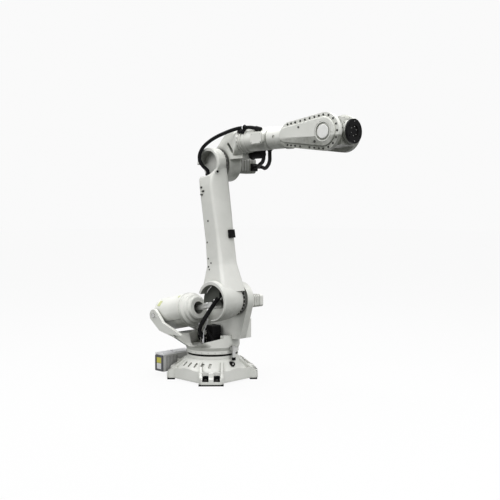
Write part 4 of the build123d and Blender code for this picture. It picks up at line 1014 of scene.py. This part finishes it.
def gearbox_screws(mats):
    """On the drive side of the ear, round the second axis's gearbox and on its cover."""
    shoulder, cover_face = Matrix.Translation(SHOULDER), EAR_FACE + SEAT + GEAR_COVER_DEPTH
    gear = Piece("gearbox_screws", "frame", mats["zinc"], "bare_steel")
    cover_circle, rim_circle = 101.0, 145.0
    gear.stamp(socket_screw(6.0),
               *ring_places(shoulder, cover_circle, 12, "Y", cover_face, 1, 15.0))
    gear.stamp(socket_screw(5.0),
               *ring_places(shoulder, rim_circle, 16, "Y", EAR_FACE, 1, -60.0, 300.0))
    gear.make()


def balancer_fittings(frame, mats):
    """Cap screws, two blank stickers, the weld seam, and the keepers of the trunnion pins."""
    balancer, cap_face, circle, sunk = on_balancer(), TUBE_FRONT + SEAT + 66.0, 126.0, -4.0
    cap = Piece("balancer_cap_screws", "balancer_cylinder", mats["zinc"], "bare_steel")
    for place in ring_places(balancer, circle, 12, "X", cap_face, 1, 15.0):
        cap.stamp(hex_bolt(6.0), place @ Matrix.Translation((0, 0, sunk)))
    cap.make()

    skin = Skin(frame, "balancer_tube")
    blanks = Piece("balancer_blanks", "balancer_cylinder", mats["pale_plate"], "casting_paint")
    for x, y, z, width, height in ((-426, -300, 701, 46, 60), (-140, -300, 790, 30, 26)):
        blanks.stamp(slab(round_corners(width, height, 4), 0.8, 0.2), skin.seen((x, y, z)))
    blanks.make()

    seam = Piece("balancer_seam", "balancer_cylinder", mats["dark_screw"], "casting_paint")
    angle = math.radians(-150.0)
    y, z = TUBE_R * math.cos(angle), TUBE_R * math.sin(angle)
    seam.stamp(plain_tube([(x, y, z) for x in (-30, 140, 318)], 1.6), balancer)
    seam.make()

    trunnion = Piece("trunnion_keepers", "frame", mats["zinc"], "bare_steel")
    for side in (-1, 1):
        face = TRUNNION.y + side * (TUBE_R + HORN_GAP + HORN_THICK)
        for x, z in ((-38, 14), (38, -14)):
            place = Matrix.Translation((TRUNNION.x + x, face, TRUNNION.z + z))
            trunnion.stamp(hex_bolt(6.0), place @ facing((0, side, 0)))
    trunnion.make()


def bowl_fittings(mats):
    """Cables that lie in the bowl, and the pale bracket at the foot of the shoulder hose."""
    loom = Piece("bowl_loom", "frame", mats["black_rubber"], "black_rubber")
    for route in (
        [(60, -150, 372), (20, -150, 400), (-40, -136, 416), (-90, -100, 400), (-120, -60, 360)],
        [(100, -20, 470), (70, -4, 500), (20, -12, 486), (-20, -50, 420), (-40, -110, 352)],
        [(170, -130, 372), (150, -160, 420), (120, -164, 470), (60, -156, 500), (10, -110, 470)],
        [(-60, -30, 326), (-50, -60, 396), (0, -120, 420), (40, -160, 392), (90, -176, 340)],
    ):
        loom.stamp(plain_tube(route, 9.0))
    loom.make(60.0)

    bracket = Piece("hose_bracket", "frame", mats["white_plate"], "casting_paint")
    for route in (
        [(24, -196, 545), (34, -196, 500), (64, -192, 452), (64, -186, 360)],
        [(150, -196, 592), (120, -196, 530), (80, -192, 458), (76, -186, 360)],
    ):
        bracket.stamp(plain_tube(route, 4.5))
    bracket.make(60.0)


def beam_fittings(frame, mats):
    """Holes, the ringed lug and small clips on the near side of the lower arm."""
    skin = Skin(frame, "lower_arm_casting")

    def beside(x, z):
        """On the near side, x ahead of the beam's line and z up from the second axis."""
        return skin.land(on_arm() @ Vector((x, -700, z)), Vector((0.0, 1.0, 0.0)))

    # shallow holes whose dark centres are painted shade
    holes = Piece("beam_holes", "lower_arm", mats["hole_shade"], "black_rubber")
    for x, z, radius in ((-12, 741, 7), (-58, 548, 6), (-62, 398, 6), (-30, 352, 6),
                         (-66, 322, 7), (-52, 296, 6)):
        holes.stamp(blind_hole(radius), beside(x, z))
    holes.make()

    seat = skin.seen((179, -100, 1965))
    lug = Piece("beam_lug", "lower_arm", mats["casting_paint"], "casting_paint")
    lug.stamp(blind_hole(19.0, 6.0), seat)
    lug.make()
    # the lug's dark centre is painted shade
    eye = Piece("beam_lug_hole", "lower_arm", mats["hole_shade"], "black_rubber")
    eye.stamp(plug(12.0, 4.6), seat)
    eye.make()

    clips = Piece("beam_clips", "lower_arm", mats["dark_screw"], "bare_steel")
    for x, z, width, height in ((-42, 1062, 20, 16), (-24, 1024, 28, 14), (-50, 996, 30, 12)):
        clips.stamp(slab(round_corners(width, height, 3), 9.0, 1.5), beside(x, z))
    clips.make()


def elbow_fittings(mats):
    """Screws of the fourth axis's cover and of the house's two rings, and the hose's mounts."""
    fore = Matrix.Translation(FOREARM)
    cover = Piece("axis_four_cover_screws", "arm_house", mats["zinc"], "bare_steel")
    cover_x, cover_y = HOUSING_END - 76, -HOUSING_R - COVER_PAD - SEAT - COVER_THICK
    half_x, half_z, circle = 52, 35, 112.0
    for x in (cover_x - half_x, cover_x + half_x):
        for z in (-half_z, half_z):
            place = fore @ Matrix.Translation((x, cover_y, z)) @ facing((0, -1, 0))
            cover.stamp(low_screw(4.5), place)
    cover.make()

    house = Piece("house_ring_screws", "arm_house", mats["dark_screw"], "bare_steel")
    ring_end = HOUSE_FRONT + RING_THICK
    for place in ring_places(fore, circle, 20, "X", ring_end - 6.0, 1, 9.0):
        point = place.to_translation()
        out = Vector((0, point.y, point.z - FOREARM.z)).normalized()
        seat = Vector((FOREARM.x + ring_end - 13.0, 0, FOREARM.z)) + out * RING_R
        house.stamp(low_screw(4.5), Matrix.Translation(seat) @ facing(out))
    elbow, plate_y = Matrix.Translation(ELBOW), ELBOW_GEAR_FACE - 14.0
    house.stamp(socket_screw(5.5), *ring_places(elbow, circle, 12, "Y", plate_y, 1, 15.0))
    house.make()

    saddle = Piece("hose_saddle", "arm_house", mats["black_rubber"], "black_rubber")
    saddle.stamp(slab(round_corners(56, 40, 6), 24.0, 4.0),
                 Matrix.Translation(ELBOW + Vector((384, -86, 262))))
    saddle.make()

    inner, outer, half = 25.9, 27.2, 5
    band = Piece("hose_band", "arm_house", mats["white_plate"], "casting_paint")
    band.stamp(lathe([(inner, -half), (outer, -half), (outer, half), (inner, half)], 32),
               Matrix.Translation(ELBOW + CLAMP) @ facing((1, 0, 0)))
    band.make()


def wrist_screws(mats):
    """Screws round both side covers and on them, and those of the tilt housing."""
    wrist = Matrix.Translation(WRIST)
    big, small, tail_x = 137.0, 80.0, -428.0
    lean = math.asin((big - small) / -tail_x)
    missing = (-198, -1)
    places = [(big * math.cos(a), big * math.sin(a)) for a in
              (math.radians(step) for step in range(-92, 93, 23))]
    for x in (-50, -98, -148, -198, -250, -305, -350, -390):
        for sign in (-1, 1):
            share = (x + big * math.sin(lean)) / (tail_x - (small - big) * math.sin(lean))
            z = (big + (small - big) * share) * math.cos(lean)
            if (x, sign) != missing:
                places.append((x, sign * z))
    rim = Piece("wrist_rim_screws", "forearm", mats["dark_screw"], "bare_steel")
    for side in (-1, 1):
        turn = facing((0, side, 0))
        for x, z in places:
            rim.stamp(socket_screw(6.2),
                      wrist @ Matrix.Translation((x, side * CHEEK_OUTER, z)) @ turn)
        for x, z in ((-84, -76), (-256, 52)):
            rim.stamp(socket_screw(7.5),
                      wrist @ Matrix.Translation((x, side * WRIST_COVER_FACE, z)) @ turn)
    rim.make()

    tilt = Piece("tilt_screws", "wrist_tilt", mats["dark_screw"], "bare_steel")
    ring_face, circle = TILT_NOSE + SEAT + 10.0, 95.0
    tilt.stamp(socket_screw(3.0), *ring_places(wrist, circle, 12, "X", ring_face, 1, 15.0))
    for x, sunk in ((40.0, 1.0), (95.0, 5.0)):
        for y in (-70.0, 0.0, 70.0):
            tilt.stamp(low_screw(4.5), wrist @ Matrix.Translation((x, y, TILT_R - sunk)))
    tilt.make()


def flange_fittings(mats):
    """The tool flange's shallow ring, its two pins and the screws in its bore."""
    wrist = Matrix.Translation(WRIST)
    ring_x, face_x, bore_x = 198.7, 199.0, 187.0
    pin_circle, bore_circle = 80.0, 38.0
    flange = Piece("tool_flange_marks", "tool", mats["black_paint"], "black_paint")
    flange.stamp(lathe([(58, 0), (58, 0.8), (60, 1.2), (62, 0.8), (62, 0)], 64),
                 wrist @ Matrix.Translation((ring_x, 0, 0)) @ facing((1, 0, 0)))
    flange.make()
    pin = Piece("tool_flange_pin", "tool", mats["zinc"], "bare_steel")
    pin.stamp(plug(4.0, 1.0), *ring_places(wrist, pin_circle, 2, "X", face_x, 1, 90.0))
    pin.stamp(socket_screw(4.0), *ring_places(wrist, bore_circle, 6, "X", bore_x, 1, 20.0))
    pin.make()


def wrist_panels(mats):
    """Raised panel on the upper part of each side cover, and the lip round its cap."""
    wrist = Matrix.Translation(WRIST)
    tail_x, thick = -416.0, 2.4
    outline = arc(111.0, -8.0, 97.0) + arc(56.0, 97.0, 206.0, tail_x)
    outline += [(-330, -29), (-200, -32), (-118, -36)] + arc(84.0, 204.0, -2.0)
    lip = lathe([(73.0, 0), (73.0, 1.6), (74.0, thick), (81.0, thick), (82.0, 1.6), (82.0, 0)],
                64)
    panels = Piece("wrist_panels", "forearm", mats["casting_paint"], "casting_paint")
    for side in (-1, 1):
        place = (wrist @ Matrix.Translation((0, side * WRIST_COVER_FACE, 0))
                 @ facing((0, side, 0)))
        panels.stamp(side_slab(outline, thick, 0.8, side), place)
        panels.stamp(lip, place)
    panels.make(30.0)


def make_fittings(frame, mats):
    turntable_screws(mats)
    box_fittings(mats)
    foot_fittings(mats)
    stop_fittings(mats)
    bearing_screws(mats)
    drum_dark_sheet(mats)
    drum_fairing(mats)
    gearbox_screws(mats)
    balancer_fittings(frame, mats)
    bowl_fittings(mats)
    beam_fittings(frame, mats)
    elbow_fittings(mats)
    wrist_screws(mats)
    flange_fittings(mats)
    wrist_panels(mats)


def soft_copy(frame, mats, node, body, angle):
    """The node's own shape, point for point, shaded smooth across edges flatter than angle."""
    source = frame["nodes"][node]
    work = bmesh.new()
    work.from_mesh(source.data)
    bmesh.ops.remove_doubles(work, verts=work.verts, dist=1e-6)
    work.verts.index_update()
    shell = Piece(node + "_shell", body, mats[FINISH[node]], "casting_paint")
    shell.stamp(([source.matrix_world @ v.co / MM for v in work.verts],
                 [tuple(v.index for v in face.verts) for face in work.faces]))
    work.free()
    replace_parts(shell.make(angle), node)


def dress_nodes(frame, mats):
    """Gives each CAD node its own finish, or else that of its slot."""
    slots = {part["node"]: part["material_slot"] for part in frame["record"]["subparts"]}
    for name, obj in frame["nodes"].items():
        obj.data.materials.clear()
        obj.data.materials.append(mats[FINISH.get(name, slots[name])])


def main():
    frame, first = load_frame()
    make_camera()
    make_studio()
    mats = make_materials()
    dress_nodes(frame, mats)
    make_hoses(mats)
    make_fittings(frame, mats)
    soft_copy(frame, mats, "lower_arm_casting", "lower_arm", 24.0)


main()
